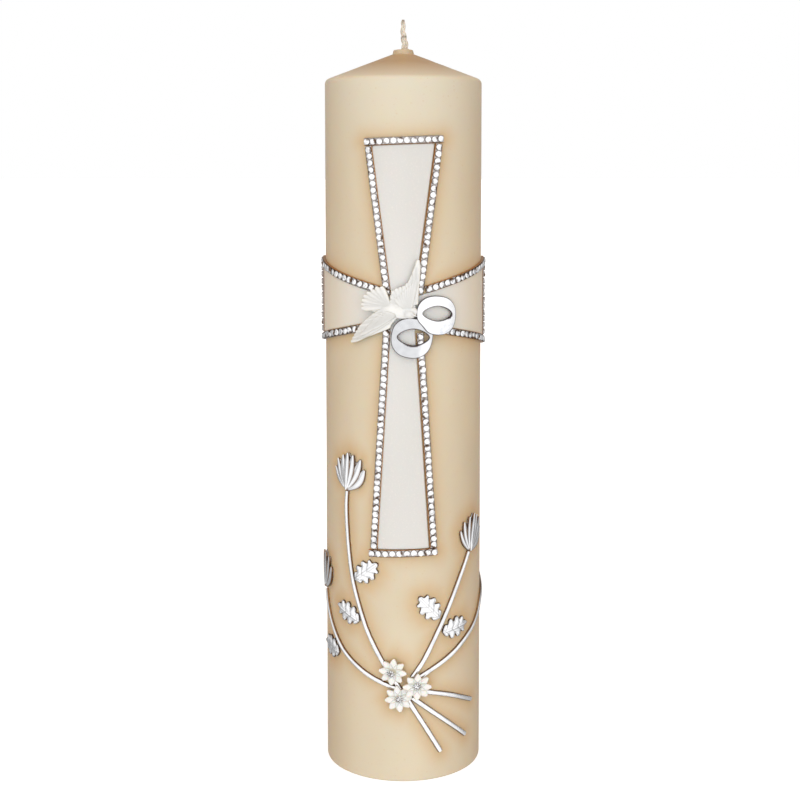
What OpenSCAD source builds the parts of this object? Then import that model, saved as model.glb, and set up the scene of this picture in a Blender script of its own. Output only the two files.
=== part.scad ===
// Unity candle: a cream wax pillar decorated in wax relief.
// A pearl-white cross edged with silver bead strips, a dove and two rings over its
// crossing, and a bouquet of silver stems, leaves and tulips tied by three daisies.
// Units are millimetres. The candle stands on z = 0, +Z is up, its front faces -Y.
// Decorations are drawn on the unrolled side of the pillar as [u, z]: u is the arc
// length round the wax from the front centre line (+ to the right), z the height.
// h is always the height of a surface above the wax.

/* [Pillar] */

// Diameter of the wax pillar
candle_diameter = 70; // [50:1:100]

// Height where the side would meet the cone
shoulder_height = 308.5; // [250:0.5:330]

// Slope of the cone at the top, in degrees
cone_angle = 21; // [5:1:40]

// Radius of the rounded shoulder
shoulder_round = 2.5; // [1:0.5:8]

// Radius of the rounded foot edge
foot_round = 1; // [0.2:0.1:3]

// Diameter of the raised wax nub round the wick
nub_diameter = 9.6; // [6:0.1:16]

// Height of the nub above the cone
nub_height = 2; // [0.5:0.1:4]

/* [Wick] */

// Diameter of the wick
wick_diameter = 2.9; // [1.5:0.1:4]

// Diameter of the thinner upper half of the free wick
wick_tip_diameter = 2.2; // [1:0.1:4]

// Bend radius of the free wick
wick_bend = 21; // [15:1:60]

// How far right of the axis the wick comes out
wick_offset = 0.8; // [0:0.1:2]

// Height above the foot where the wick starts inside the wax
wick_start = 6; // [2:1:40]

/* [Cross] */

// Thickness of the pearl cross sheet
panel_thickness = 0.7; // [0.4:0.1:1.5]

// Gap between the sheet and the strips round it
panel_gap = 0.1; // [0.05:0.05:0.5]

// Angle round the pillar where the arms end, in degrees each side of the front
arm_reach = 90; // [60:1:120]

/* [Bead strip] */

// Width of the strip
strip_width = 3.2; // [2:0.1:5]

// Thickness of the strip under the beads
strip_thickness = 1.1; // [0.6:0.1:2]

// Diameter of a bead
bead_diameter = 2.6; // [1.5:0.1:4]

// Height of a bead above the strip
bead_height = 0.9; // [0.4:0.1:1.5]

// Distance from bead to bead
bead_pitch = 2.8; // [2:0.05:5]

/* [Dove and rings] */

// Height of the dove's underside above the wax, just clear of the beads
dove_lift = 2.15; // [2:0.05:3]

// Thickness of the dove at its edges
dove_edge = 0.8; // [0.4:0.1:1.5]

// Extra height of the dove's rounded middle
dove_dome = 1.3; // [0.5:0.1:3]

// Thickness of the ring sheet
ring_thickness = 0.5; // [0.3:0.1:1]

// Height of the lower ring above the wax
ring_lift = 2.25; // [2.1:0.05:3]

/* [Bouquet] */

// Width of a stem strip
stem_width = 2.2; // [1.2:0.1:4]

// Thickness of a stem strip
stem_thickness = 1.2; // [0.6:0.1:2]

// Thickness of the edges of leaves and tulips
relief_edge = 0.6; // [0.3:0.1:1]

// Extra height of the middle of leaves and tulips
relief_dome = 0.9; // [0.3:0.1:2]

// Tip radius of a daisy
daisy_radius = 5.8; // [3:0.1:8]

// Number of petals on a daisy
daisy_petals = 8; // [5:1:12]

// Diameter of a rhinestone
stone_diameter = 2.8; // [1.5:0.1:4]

/* [Hidden] */

// Which node to draw

// Every node of the part

R = candle_diameter / 2;
nub_r = nub_diameter / 2;
cone_top = shoulder_height + (R - nub_r) * tan(cone_angle);
nub_top = cone_top + nub_height;
shoulder_cut = shoulder_round * tan((90 - cone_angle) / 2);
strip_clear = 0.06;            // underside of strips and sheet above the wax
relief_clear = 0.12;           // underside of wider reliefs above the wax
half_strip = strip_width / 2;
arm_u = arm_reach * PI / 180 * R;

WAX = [0.88, 0.81, 0.66];
PEARL = [0.93, 0.92, 0.89];
SILVER = [0.78, 0.78, 0.80];
COTTON = [0.86, 0.84, 0.78];
GLASS = [0.90, 0.95, 1.00];

// ---------------------------------------------------------------- surface maths

// Point on the pillar at arc u, height z, h above the wax.
function wrap(u, z, h) =
  let (a = u / R * 180 / PI) [(R + h) * sin(a), -(R + h) * cos(a), z];

// Smooth curve through the points p, s steps between neighbours.
function knot(p, i) = p[max(0, min(len(p) - 1, i))];
function smooth_path(p, s) = [
  for (i = [0 : len(p) - 2]) for (k = [0 : s - 1])
    let (t = k / s, a = knot(p, i - 1), b = knot(p, i), c = knot(p, i + 1),
         d = knot(p, i + 2))
    0.5 * (2 * b + (c - a) * t + (2 * a - 5 * b + 4 * c - d) * t * t
           + (3 * b - a - 3 * c + d) * t * t * t),
  p[len(p) - 1]];

// Straight path from a to b in steps no longer than about one bead.
function straight_path(a, b) =
  let (n = max(2, ceil(norm(b - a) / bead_pitch)))
  [for (i = [0 : n]) a + (b - a) * i / n];

function side_at(p, i) =
  let (d = p[min(len(p) - 1, i + 1)] - p[max(0, i - 1)]) [-d[1], d[0]] / norm(d);

function path_length(p) =
  len(p) < 2 ? 0 : norm(p[1] - p[0]) + path_length([for (i = [1 : len(p) - 1]) p[i]]);

// Point at distance s along the path.
function along(p, s, i = 0) =
  let (d = norm(p[i + 1] - p[i]))
  (s <= d || i >= len(p) - 2) ? p[i] + (p[i + 1] - p[i]) * s / d
                              : along(p, s - d, i + 1);

// Ramp from 0 to 1 while x goes from a to b.
function ramp(x, a, b) = let (t = max(0, min(1, (x - a) / (b - a)))) t * t * (3 - 2 * t);

// Turn [x, y] by angle a.
function turn(v, a) = [v[0] * cos(a) - v[1] * sin(a), v[0] * sin(a) + v[1] * cos(a)];

// ---------------------------------------------------------------- building tools

// Strip of constant section laid along a path; section points are [across, h].
module ribbon(path, section) {
  n = len(path);
  m = len(section);
  points = [for (i = [0 : n - 1]) for (s = section)
    let (q = path[i] + side_at(path, i) * s[0]) wrap(q[0], q[1], s[1])];
  sides = [for (i = [0 : n - 2]) for (j = [0 : m - 1])
    let (a = i * m + j, b = i * m + (j + 1) % m, c = b + m, d = a + m)
    each [[a, d, c], [a, c, b]]];
  ends = [for (j = [1 : m - 2]) each
    [[0, j, j + 1], [(n - 1) * m, (n - 1) * m + j + 1, (n - 1) * m + j]]];
  polyhedron(points = points, faces = concat(sides, ends), convexity = 6);
}

// Closed plate from an outline round a centre. Outline points are [x, y, ridge]
// about the centre c = [u, z]; top(f, ridge, u, z) and under(f, u, z) give the
// heights at the fraction f from the centre to the outline.
module relief(c, outline, fractions, top, under) {
  n = len(outline);
  k = len(fractions);
  rings = [for (f = fractions) for (p = outline) [c[0] + p[0] * f, c[1] + p[1] * f]];
  tops = [wrap(c[0], c[1], top(0, 0, c[0], c[1])),
    for (a = [0 : k - 1]) for (i = [0 : n - 1]) let (q = rings[a * n + i])
      wrap(q[0], q[1], top(fractions[a], outline[i][2], q[0], q[1]))];
  unders = [wrap(c[0], c[1], under(0, c[0], c[1])),
    for (a = [0 : k - 1]) for (i = [0 : n - 1]) let (q = rings[a * n + i])
      wrap(q[0], q[1], under(fractions[a], q[0], q[1]))];
  b = 1 + k * n;
  caps = [for (i = [0 : n - 1]) let (j = (i + 1) % n)
    each [[0, 1 + j, 1 + i], [b, b + 1 + i, b + 1 + j]]];
  skins = [for (a = [0 : k - 2]) for (i = [0 : n - 1])
    let (j = (i + 1) % n, p = 1 + a * n + i, q = 1 + a * n + j, r = q + n, s = p + n)
    each [[p, q, r], [p, r, s], [b + p, b + r, b + q], [b + p, b + s, b + r]]];
  rim = [for (i = [0 : n - 1]) let (j = (i + 1) % n, o = 1 + (k - 1) * n)
    each [[o + i, o + j, b + o + j], [o + i, b + o + j, b + o + i]]];
  polyhedron(points = concat(tops, unders), faces = concat(caps, skins, rim),
             convexity = 8);
}

// Closed frame between an inner and an outer outline (same number of points).
module frame(inner, outer, steps, top, under) {
  n = len(inner);
  k = steps + 1;
  mix = [for (a = [0 : steps]) for (i = [0 : n - 1])
    inner[i] + (outer[i] - inner[i]) * a / steps];
  points = concat([for (q = mix) wrap(q[0], q[1], top(q[0], q[1]))],
                  [for (q = mix) wrap(q[0], q[1], under(q[0], q[1]))]);
  b = k * n;
  skins = [for (a = [0 : steps - 1]) for (i = [0 : n - 1])
    let (j = (i + 1) % n, p = a * n + i, q = a * n + j, r = q + n, s = p + n)
    each [[p, q, r], [p, r, s], [b + p, b + r, b + q], [b + p, b + s, b + r]]];
  walls = [for (i = [0 : n - 1]) let (j = (i + 1) % n, o = steps * n)
    each [[o + i, o + j, b + o + j], [o + i, b + o + j, b + o + i],
          [i, b + j, j], [i, b + i, b + j]]];
  polyhedron(points = points, faces = concat(skins, walls), convexity = 8);
}

// Stands its children on the wax at [u, z], their +Z pointing outwards.
module on_wax(q, h) {
  rotate([0, 0, q[0] / R * 180 / PI]) translate([0, -(R + h), q[1]])
    rotate([90, 0, 0]) children();
}

// One rounded bead, its rim sunk a little into the strip.
module bead() {
  r = bead_diameter / 2;
  sink = 0.3;
  rotate_extrude($fn = 16) polygon([[0, -sink], [r, -sink],
    for (i = [0 : 4]) let (a = i * 22.5) [r * cos(a), bead_height * sin(a)]]);
}

// Silver strip with a row of beads along the path.
module bead_strip(path) {
  length = path_length(path);
  count = max(1, floor(length / bead_pitch));
  chamfer = 0.2;
  color(SILVER) {
    ribbon(path, [[-half_strip, strip_clear], [half_strip, strip_clear],
      [half_strip, strip_thickness - chamfer],
      [half_strip - chamfer, strip_thickness],
      [chamfer - half_strip, strip_thickness],
      [-half_strip, strip_thickness - chamfer]]);
    for (i = [0 : count - 1])
      on_wax(along(path, (i + 0.5) * length / count), strip_thickness) bead();
  }
}

// Silver stem: a strip with a rounded back.
module stem(path) {
  w = stem_width / 2;
  t = stem_thickness;
  color(SILVER) ribbon(path, [[-w, strip_clear], [w, strip_clear], [w, t * 0.55],
    [w * 0.7, t * 0.88], [0, t], [-w * 0.7, t * 0.88], [-w, t * 0.55]]);
}

// ---------------------------------------------------------------- pillar and wick

module wax_body() {
  f = foot_round;
  s = shoulder_round;
  e = 0.8;                     // rounding of the nub's top edge
  profile = concat([[0, 0]],
    [for (i = [0 : 4]) let (a = -90 + i * 22.5) [R - f + f * cos(a), f + f * sin(a)]],
    [for (i = [0 : 6]) let (a = i * (90 - cone_angle) / 6)
      [R - s + s * cos(a), shoulder_height - shoulder_cut + s * sin(a)]],
    [[nub_r, cone_top]],
    [for (i = [0 : 4]) let (a = i * 22.5)
      [nub_r - 0.3 - e + e * cos(a), nub_top - e + e * sin(a)]],
    [[0, nub_top]]);
  color(WAX) difference() {
    rotate_extrude($fn = 128) polygon(profile);
    translate([wick_offset, 0, wick_start])
      cylinder(d = wick_diameter + 0.1, h = nub_top, $fn = 32);
  }
}

module wick() {
  lean = 12;                   // first it leans left
  back = 20;                   // then it turns back to the right
  x0 = wick_offset;
  z0 = nub_top + 0.4;
  p1 = [x0 - wick_bend * (1 - cos(lean)), z0 + wick_bend * sin(lean)];
  c2 = p1 + wick_bend * [cos(lean), sin(lean)];
  p2 = c2 + wick_bend * [-cos(back - lean), sin(back - lean)];
  color(COTTON) {
    translate([x0, 0, wick_start]) cylinder(d = wick_diameter, h = z0 - wick_start,
      $fn = 32);
    translate([x0 - wick_bend, 0, z0]) rotate([90, 0, 0]) rotate([0, 0, -1])
      rotate_extrude(angle = lean + 1, $fn = 96) translate([wick_bend, 0])
        circle(d = wick_diameter - 0.1, $fn = 24);
    translate([c2[0], 0, c2[1]]) rotate([90, 0, 0]) rotate([0, 0, 180 - back + lean])
      rotate_extrude(angle = back + 1, $fn = 96) translate([wick_bend, 0])
        circle(d = wick_tip_diameter, $fn = 24);
    translate([p2[0], 0, p2[1]]) rotate([0, back - lean, 0]) translate([0, 0, -0.2])
      cylinder(d1 = wick_tip_diameter - 0.1, d2 = 0.9, h = 1.4, $fn = 24);
  }
}

// ---------------------------------------------------------------- cross

// Centre lines of the strips. The arms flare towards their ends.
top_ends = [[-17.3, 280.6], [17.1, 281.9]];
upper_left = [[-15.3, 278.7], [-7.0, 215.6]];
upper_right = [[15.1, 279.8], [6.5, 216.0]];
lower_left = [[-7.3, 200.4], [-13.1, 104.4]];
lower_right = [[6.7, 199.0], [12.9, 104.8]];
bottom_bow = [[-15.4, 102.2], [-0.5, 102.8], [14.6, 103.0]];

function left_upper_z(u) = let (d = abs(u) - 10) 217.5 + 0.27 * d - 0.0006 * d * d;
function left_lower_z(u) = let (d = abs(u) - 8) 203.4 - 0.25 * d + 0.001 * d * d;
function right_upper_z(u) = let (d = u - 8) 217.3 + 0.28 * d - 0.001 * d * d;
function right_lower_z(u) = 201.8 - 0.2 * (u - 7);

// How far the sheet's edge stays from the centre line of a strip, along the slope.
inset = half_strip + panel_gap;
arm_inset = inset * 1.03;

// Arc position on the straight centre line p at height z, and its height at arc u.
function line_u(p, z) = p[0][0] + (p[1][0] - p[0][0]) * (z - p[0][1]) / (p[1][1] - p[0][1]);
function line_z(p, u) = p[0][1] + (p[1][1] - p[0][1]) * (u - p[0][0]) / (p[1][0] - p[0][0]);

// Arc position of the sheet's edge beside an upright strip; way is 1 to its right.
function beside(p, z, way) = line_u(p, z) + way * inset * 1.01;

// Corners where the sheet's arms meet its upright.
corner_ul = let (u = beside(upper_left, 214.4, 1)) [u, left_upper_z(u) - arm_inset];
corner_ur = let (u = beside(upper_right, 214.6, -1)) [u, right_upper_z(u) - arm_inset];
corner_lr = let (u = beside(lower_right, 204, -1)) [u, right_lower_z(u) + arm_inset];
corner_ll = let (u = beside(lower_left, 205.8, 1)) [u, left_lower_z(u) + arm_inset];

// Grid of points between four corners, as [[row], ...].
function patch(a, b, c, d, cols, rows) = [for (r = [0 : rows]) [for (k = [0 : cols])
  let (s = k / cols, t = r / rows)
  (a * (1 - s) + b * s) * (1 - t) + (d * (1 - s) + c * s) * t]];

// Grid of an arm from its root edge to its end, following the flare.
function arm_patch(u0, lo0, hi0, lo, hi, cols, sign) = [for (r = [0, 1])
  [for (k = [0 : cols]) let (u = u0 + (sign * (arm_u - inset) - u0) * k / cols)
    [u, k == 0 ? (r == 0 ? lo0 : hi0) : (r == 0 ? lo(u) : hi(u))]]];

// Top and underside faces of a grid wound u right, z up.
module cross_panel() {
  cols = 10;
  legs = 6;
  arm_cols = 17;
  t = panel_thickness;
  top_l = let (z = line_z(top_ends, -13.5) - inset) [beside(upper_left, z, 1), z];
  top_r = let (z = line_z(top_ends, 13.4) - inset) [beside(upper_right, z, -1), z];
  bot_l = let (z = bottom_bow[0][1] + inset + 0.5) [beside(lower_left, z, 1), z];
  bot_r = let (z = bottom_bow[2][1] + inset + 0.1) [beside(lower_right, z, -1), z];
  middle = patch(corner_ll, corner_lr, corner_ur, corner_ul, cols, 1);
  upper = patch(corner_ul, corner_ur, top_r, top_l, cols, legs);
  lower = patch(bot_l, bot_r, corner_lr, corner_ll, cols, legs);
  right = arm_patch(corner_lr[0], corner_lr[1], corner_ur[1],
    function(u) right_lower_z(u) + arm_inset,
    function(u) right_upper_z(u) - arm_inset, arm_cols, 1);
  // the right arm's root edge leans, so its first column is set exactly
  right_fix = [[corner_lr, for (k = [1 : arm_cols]) right[0][k]],
               [corner_ur, for (k = [1 : arm_cols]) right[1][k]]];
  left = arm_patch(corner_ll[0], corner_ll[1], corner_ul[1],
    function(u) left_lower_z(u) + arm_inset,
    function(u) left_upper_z(u) - arm_inset, arm_cols, -1);
  left_fix = [[for (k = [arm_cols : -1 : 1]) left[0][k], corner_ll],
              [for (k = [arm_cols : -1 : 1]) left[1][k], corner_ul]];
  grids = [middle, upper, lower, right_fix, left_fix];
  flat = [for (g = grids) for (row = g) for (q = row) q];
  total = len(flat);
  starts = [for (i = 0, s = 0; i < len(grids);
    s = s + len(grids[i]) * len(grids[i][0]), i = i + 1) s];
  skins = [for (g = [0 : len(grids) - 1]) let (w = len(grids[g][0]))
    for (r = [0 : len(grids[g]) - 2]) for (k = [0 : w - 2])
    let (a = starts[g] + r * w + k, b = a + 1, c = b + w, d = a + w)
    each [[a, d, c], [a, c, b],
          [total + a, total + c, total + d], [total + a, total + b, total + c]]];
  // walls follow the outline anticlockwise, seen from outside
  g_up = starts[1] + legs * (cols + 1);
  g_r = starts[3];
  g_l = starts[4];
  w = arm_cols + 1;
  outline = concat(
    [for (k = [0 : cols]) starts[2] + k],
    [for (r = [1 : legs - 1]) starts[2] + r * (cols + 1) + cols],
    [for (k = [0 : arm_cols]) g_r + k],
    [for (k = [arm_cols : -1 : 0]) g_r + w + k],
    [for (r = [1 : legs]) starts[1] + r * (cols + 1) + cols],
    [for (k = [cols - 1 : -1 : 0]) g_up + k],
    [for (r = [legs - 1 : -1 : 1]) starts[1] + r * (cols + 1)],
    [for (k = [arm_cols : -1 : 0]) g_l + w + k],
    [for (k = [0 : arm_cols]) g_l + k],
    [for (r = [legs - 1 : -1 : 1]) starts[2] + r * (cols + 1)]);
  m = len(outline);
  walls = [for (i = [0 : m - 1]) let (a = outline[i], b = outline[(i + 1) % m])
    each [[a, b, total + b], [a, total + b, total + a]]];
  color(PEARL) polyhedron(
    points = concat([for (q = flat) wrap(q[0], q[1], t)],
                    [for (q = flat) wrap(q[0], q[1], strip_clear)]),
    faces = concat(skins, walls), convexity = 8);
}

// Path of an arm strip from u0 to u1 along z = f(u).
function arm_path(u0, u1, f) = let (n = ceil(abs(u1 - u0) / bead_pitch))
  [for (i = [0 : n]) let (u = u0 + (u1 - u0) * i / n) [u, f(u)]];

module trim_top() bead_strip(straight_path(top_ends[0], top_ends[1]));
module trim_upper_left() bead_strip(straight_path(upper_left[0], upper_left[1]));
module trim_upper_right() bead_strip(straight_path(upper_right[0], upper_right[1]));
module trim_lower_left() bead_strip(straight_path(lower_left[0], lower_left[1]));
module trim_lower_right() bead_strip(straight_path(lower_right[0], lower_right[1]));
module trim_bottom() bead_strip(smooth_path(bottom_bow, 5));
module trim_left_arm_upper()
  bead_strip(arm_path(-arm_u - half_strip, -9.7, function(u) left_upper_z(u)));
module trim_left_arm_lower()
  bead_strip(arm_path(-arm_u - half_strip, -9.4, function(u) left_lower_z(u)));
module trim_right_arm_upper()
  bead_strip(arm_path(9.2, arm_u + half_strip, function(u) right_upper_z(u)));
module trim_right_arm_lower()
  bead_strip(arm_path(9.0, arm_u + half_strip, function(u) right_lower_z(u)));

// The end strips stand between the two strips of their arm.
end_gap = half_strip * 1.12 + 0.3;
module trim_left_arm_end() bead_strip(straight_path(
  [-arm_u, left_upper_z(arm_u) - end_gap], [-arm_u, left_lower_z(arm_u) + end_gap]));
module trim_right_arm_end() bead_strip(straight_path(
  [arm_u, right_upper_z(arm_u) - end_gap], [arm_u, right_lower_z(arm_u) + end_gap]));

// ---------------------------------------------------------------- dove and rings

// The dove flies to the right: body, head and raised wing; tail; lowered wing.
dove_body = [[4.7, 1.6, 0], [5.2, 4.6, -1], [6.0, 9.6, 1], [6.6, 14.6, -1],
  [6.0, 19.0, 0], [4.4, 16.0, 1], [3.0, 13.0, -1], [1.9, 10.6, 1], [0.6, 8.6, -1],
  [-1.4, 7.5, 1], [-3.6, 7.0, -1], [-5.0, 5.8, 1], [-5.2, 3.4, 0], [-7.0, 1.0, 0],
  [-9.0, -2.2, 0], [-8.6, -5.6, 0], [-6.4, -8.4, 0], [-2.6, -7.0, 0],
  [-0.8, -6.2, 0], [1.0, -5.8, 0], [3.8, -5.2, 0], [4.6, -3.2, 0], [5.6, -1.0, 0]];
dove_tail = [[8.6, -4.4, 0], [6.4, -1.0, 0], [5.4, 1.6, 0], [4.6, 4.6, 0],
  [2.9, 5.7, 1], [1.4, 4.6, -1], [-0.2, 5.2, 1], [-1.3, 3.9, -1], [-2.9, 4.0, 1],
  [-3.4, 2.4, -1], [-4.8, 1.7, 1], [-4.8, 0.2, -1], [-5.6, -1.4, 1],
  [-4.6, -2.6, -1], [-5.4, -4.2, 1], [-1.6, -5.4, 0], [3.0, -7.0, 0]];
dove_wing = [[9.6, 1.6, 0], [6.2, 4.6, 0], [0.6, 3.6, 0], [-1.8, 1.2, 1],
  [-3.8, -1.0, -1], [-6.0, -3.6, 1], [-8.4, -6.4, -1], [-11.8, -9.6, 1],
  [-13.4, -11.2, 0], [-9.4, -10.2, 0], [-4.0, -8.4, 0], [0.8, -6.4, 0],
  [5.4, -4.3, 0], [6.5, -2.3, 0]];

module dove() {
  dome = function(f, ridge, extra)
    dove_edge + dove_dome * extra * (1 - f * f) + 0.22 * ridge * f;
  color(PEARL) {
    relief([0, 211.6], dove_body, [0.3, 0.5, 0.78, 1],
      function(f, ridge, u, z) dove_lift + dome(f, ridge, 1),
      function(f, u, z) f < 0.35 ? panel_thickness + 0.06 : dove_lift);
    relief([-12.4, 213.5], dove_tail, [0.4, 0.72, 1],
      function(f, ridge, u, z) dove_lift - 0.1 + dome(f, ridge, 0.6),
      function(f, u, z) dove_lift + 0.12 - 1.1 * ramp(-z, -214.5, -211) * ramp(-u, 9, 14));
    relief([-10.5, 205.0], dove_wing, [0.4, 0.72, 1],
      function(f, ridge, u, z) dove_lift + 0.1 + dome(f, ridge, 0.7)
        - 1.1 * ramp(-u, 19.5, 24),
      function(f, u, z) dove_lift + 0.24 - 1.1 * ramp(-u, 19.5, 24));
  }
}

// A wedding ring drawn in view: rounded outline, narrower towards its foot and
// flattened by the fraction flat at its lower left, and a lens-shaped opening
// pointed left and right. a is the angle round it.
function ring_outline(c, w, h, tilt, flat, n) = [for (i = [0 : n - 1])
  let (a = i * 360 / n, x = pow(abs(cos(a)), 0.85) * sign(cos(a)),
       y = pow(abs(sin(a)), 0.85) * sign(sin(a)),
       cut = 1 - flat * pow(max(0, cos(a - 222)), 10))
  c + cut * turn([w * x * (1 + 0.04 * y), h * y], tilt)];
function ring_lens(c, w, h, tilt, n) = [for (i = [0 : n - 1])
  let (a = i * 360 / n, y = sin(a), x = cos(a) * (0.82 + 0.18 * abs(cos(a))))
  c + turn([w * x, h * y * abs(y) * 0.35 + h * y * 0.65], tilt)];

module ring_plate(outer, lens, under) {
  color(SILVER) frame(lens, outer, 3,
    function(u, z) under(u, z) + ring_thickness, under);
}

module ring_upper() ring_plate(
  ring_outline([14.1, 206.5], 9.0, 8.4, -6, 0.13, 40),
  ring_lens([14.4, 207.3], 6.5, 3.1, -3, 40),
  function(u, z) min(3.1, ring_lift - 0.05 - 0.07 * (u - 14.5) - 0.1 * (z - 206)));

module ring_lower() ring_plate(
  ring_outline([3.5, 197.0], 8.5, 8.6, -10, 0, 40),
  ring_lens([4.1, 197.4], 6.4, 3.5, -2, 40),
  function(u, z) ring_lift);

// ---------------------------------------------------------------- bouquet

left_stem = [[-26.9, 128.2], [-27.4, 120], [-26.2, 104], [-23.8, 89.3],
  [-19.8, 76.6], [-15.7, 66.1], [-8.5, 53.1], [2.7, 36.1], [16.8, 12.8]];
far_left_stem = [[-47.2, 79.1], [-44.2, 72.6], [-39.5, 66.0], [-31.8, 57.6],
  [-24.4, 52.2], [-14.8, 46.9], [-4.6, 43.0]];
right_stem = [[33.4, 99.4], [27.2, 88.9], [20.3, 75.9], [14.0, 64.1], [8.9, 54.6],
  [3.9, 47.5]];
far_right_stem = [[68.6, 92.4], [64.0, 84.6], [57.6, 79.6], [51.6, 76.6], [47.0, 73.2],
  [43.7, 69.6], [38.2, 65.2], [30.8, 60.6], [22.2, 55.3], [12.5, 50.3], [6.9, 47.1]];
middle_tail = [[3.9, 38.3], [17.0, 28.0], [31.0, 16.9]];
right_tail = [[0.9, 42.5], [9.9, 40.6], [22.0, 37.2], [35.6, 31.5]];

module stem_left() stem(smooth_path(left_stem, 7));
module stem_far_left() stem(smooth_path(far_left_stem, 5));
module stem_right() stem(smooth_path(right_stem, 5));
module stem_far_right() stem(smooth_path(far_right_stem, 5));
module tail_middle() stem(smooth_path(middle_tail, 6));
module tail_right() stem(smooth_path(right_tail, 5));

// Heights shared by leaves and tulips: a soft dome with radial ridges.
module silver_relief(base, centre, outline, angle) {
  c = base + turn(centre, angle);
  turned = [for (p = outline) let (q = turn([p[0] - centre[0], p[1] - centre[1]], angle))
    [q[0], q[1], p[2]]];
  color(SILVER) relief(c, turned, [0.4, 0.75, 1],
    function(f, ridge, u, z) relief_edge + relief_dome * (1 - f * f)
      + 0.2 * ridge * sin(f * 150),
    function(f, u, z) relief_clear);
}

// Tulip head: base of the cup at [0, 0], seven petals fanned upwards.
tulip_outline = [[1.6, 0.7, 0], [6.7, 3.1, 0], [9.0, 6.5, 1], [9.8, 9.8, 1],
  [6.5, 8.9, -1], [7.9, 14.3, 1], [4.9, 13.1, -1], [3.9, 16.0, 1], [2.3, 15.2, -1],
  [1.3, 16.8, 1], [-0.5, 14.9, -1], [-1.7, 15.4, 1], [-3.3, 12.4, -1],
  [-5.4, 13.4, 1], [-5.0, 8.8, -1], [-7.5, 9.3, 1], [-6.3, 5.2, 0], [-4.3, 2.5, 0],
  [-1.2, 0.6, 0], [0, 0.1, 0]];
tulip_centre = [0.5, 6];

module tulip_left() silver_relief([-26.9, 128.5], tulip_centre, tulip_outline, 0);
module tulip_right() silver_relief([34.0, 99.6], tulip_centre, tulip_outline, -6);
module tulip_far_left() silver_relief([-47.6, 79.8], tulip_centre, tulip_outline, 8);
module tulip_far_right() silver_relief([69.2, 93.1], tulip_centre, tulip_outline, -28);

// Oak-like leaf: stalk end at [0, 0], lobes pointing forward along +y.
leaf_half = [[0.5, 0.3, 0], [2.0, 1.1, 1], [2.8, 2.1, 1], [2.5, 3.4, -1],
  [3.9, 3.8, 1], [4.6, 5.2, 1], [3.0, 6.7, -1], [4.3, 7.3, 1], [4.7, 8.8, 1],
  [2.8, 10.1, -1], [3.5, 11.0, 1], [3.3, 12.2, 1], [1.5, 12.4, -1], [1.1, 13.6, 1]];
leaf_outline = concat([[0, 0, 0]], leaf_half, [[0, 14.3, 1]],
  [for (i = [len(leaf_half) - 1 : -1 : 0])
    [-leaf_half[i][0], leaf_half[i][1], leaf_half[i][2]]]);

module leaf(base, direction) silver_relief(base, [0, 7], leaf_outline, direction - 90);

module leaf_left_upper() leaf([-22.4, 89.1], 38);
module leaf_left_middle() leaf([-19.8, 70.9], 158);
module leaf_left_lower() leaf([-32.2, 54.0], 172);
module leaf_right_upper() leaf([16.4, 72.8], 133);
module leaf_right_lower() leaf([17.5, 66.4], 8);

// Daisy: pointed petals, notched between, a little cupped.
function daisy_outline(spin) = [for (p = [0 : daisy_petals - 1]) for (k = [0 : 5])
  let (step = 360 / daisy_petals, side = (k - 3) / 3,
       a = spin + (p + 0.5 + side / 2 * 0.98) * step,
       r = daisy_radius * (1 - 0.58 * pow(abs(side), 1.9)))
  [r * cos(a), r * sin(a), 1 - 2 * abs(side)]];

module daisy(centre, h, spin) {
  color(PEARL) relief(centre, daisy_outline(spin), [0.3, 0.65, 1],
    function(f, ridge, u, z) h + 0.75 + 0.35 * f + 0.2 * ridge * f,
    function(f, u, z) h + 0.25 * f);
}

// Rhinestone: a small cut stone, its table facing outwards.
module stone(centre, h) {
  r = stone_diameter / 2;
  color(GLASS) on_wax(centre, h) union() {
    cylinder(r = r, h = 0.3, $fn = 24);
    translate([0, 0, 0.3]) cylinder(r1 = r, r2 = r * 0.55, h = 0.75, $fn = 24);
  }
}

daisy_low = stem_thickness + 0.12;
daisy_high = daisy_low + 1.35;
stone_sit = 1.0;

module daisy_upper() daisy([-4.4, 50.3], daisy_low, 17);
module daisy_right() daisy([5.6, 44.0], daisy_high, 20);
module daisy_lower() daisy([-2.0, 38.4], daisy_low, 30);
module stone_upper() stone([-5.2, 49.4], daisy_low + stone_sit);
module stone_right() stone([5.5, 44.3], daisy_high + stone_sit);
module stone_lower() stone([-1.7, 38.2], daisy_low + stone_sit);

// ---------------------------------------------------------------- drawing

wax_body();
wick();
cross_panel();
trim_top();
trim_upper_left();
trim_upper_right();
trim_left_arm_upper();
trim_left_arm_end();
trim_left_arm_lower();
trim_right_arm_upper();
trim_right_arm_end();
trim_right_arm_lower();
trim_lower_left();
trim_lower_right();
trim_bottom();
dove();
ring_upper();
ring_lower();
stem_left();
stem_far_left();
stem_right();
stem_far_right();
tail_middle();
tail_right();
tulip_left();
tulip_far_left();
tulip_right();
tulip_far_right();
leaf_left_upper();
leaf_left_middle();
leaf_left_lower();
leaf_right_upper();
leaf_right_lower();
daisy_upper();
daisy_right();
daisy_lower();
stone_upper();
stone_right();
stone_lower();
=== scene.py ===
import math
import random

import bmesh
import bpy
import numpy as np
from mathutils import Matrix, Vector, geometry, noise


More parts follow.
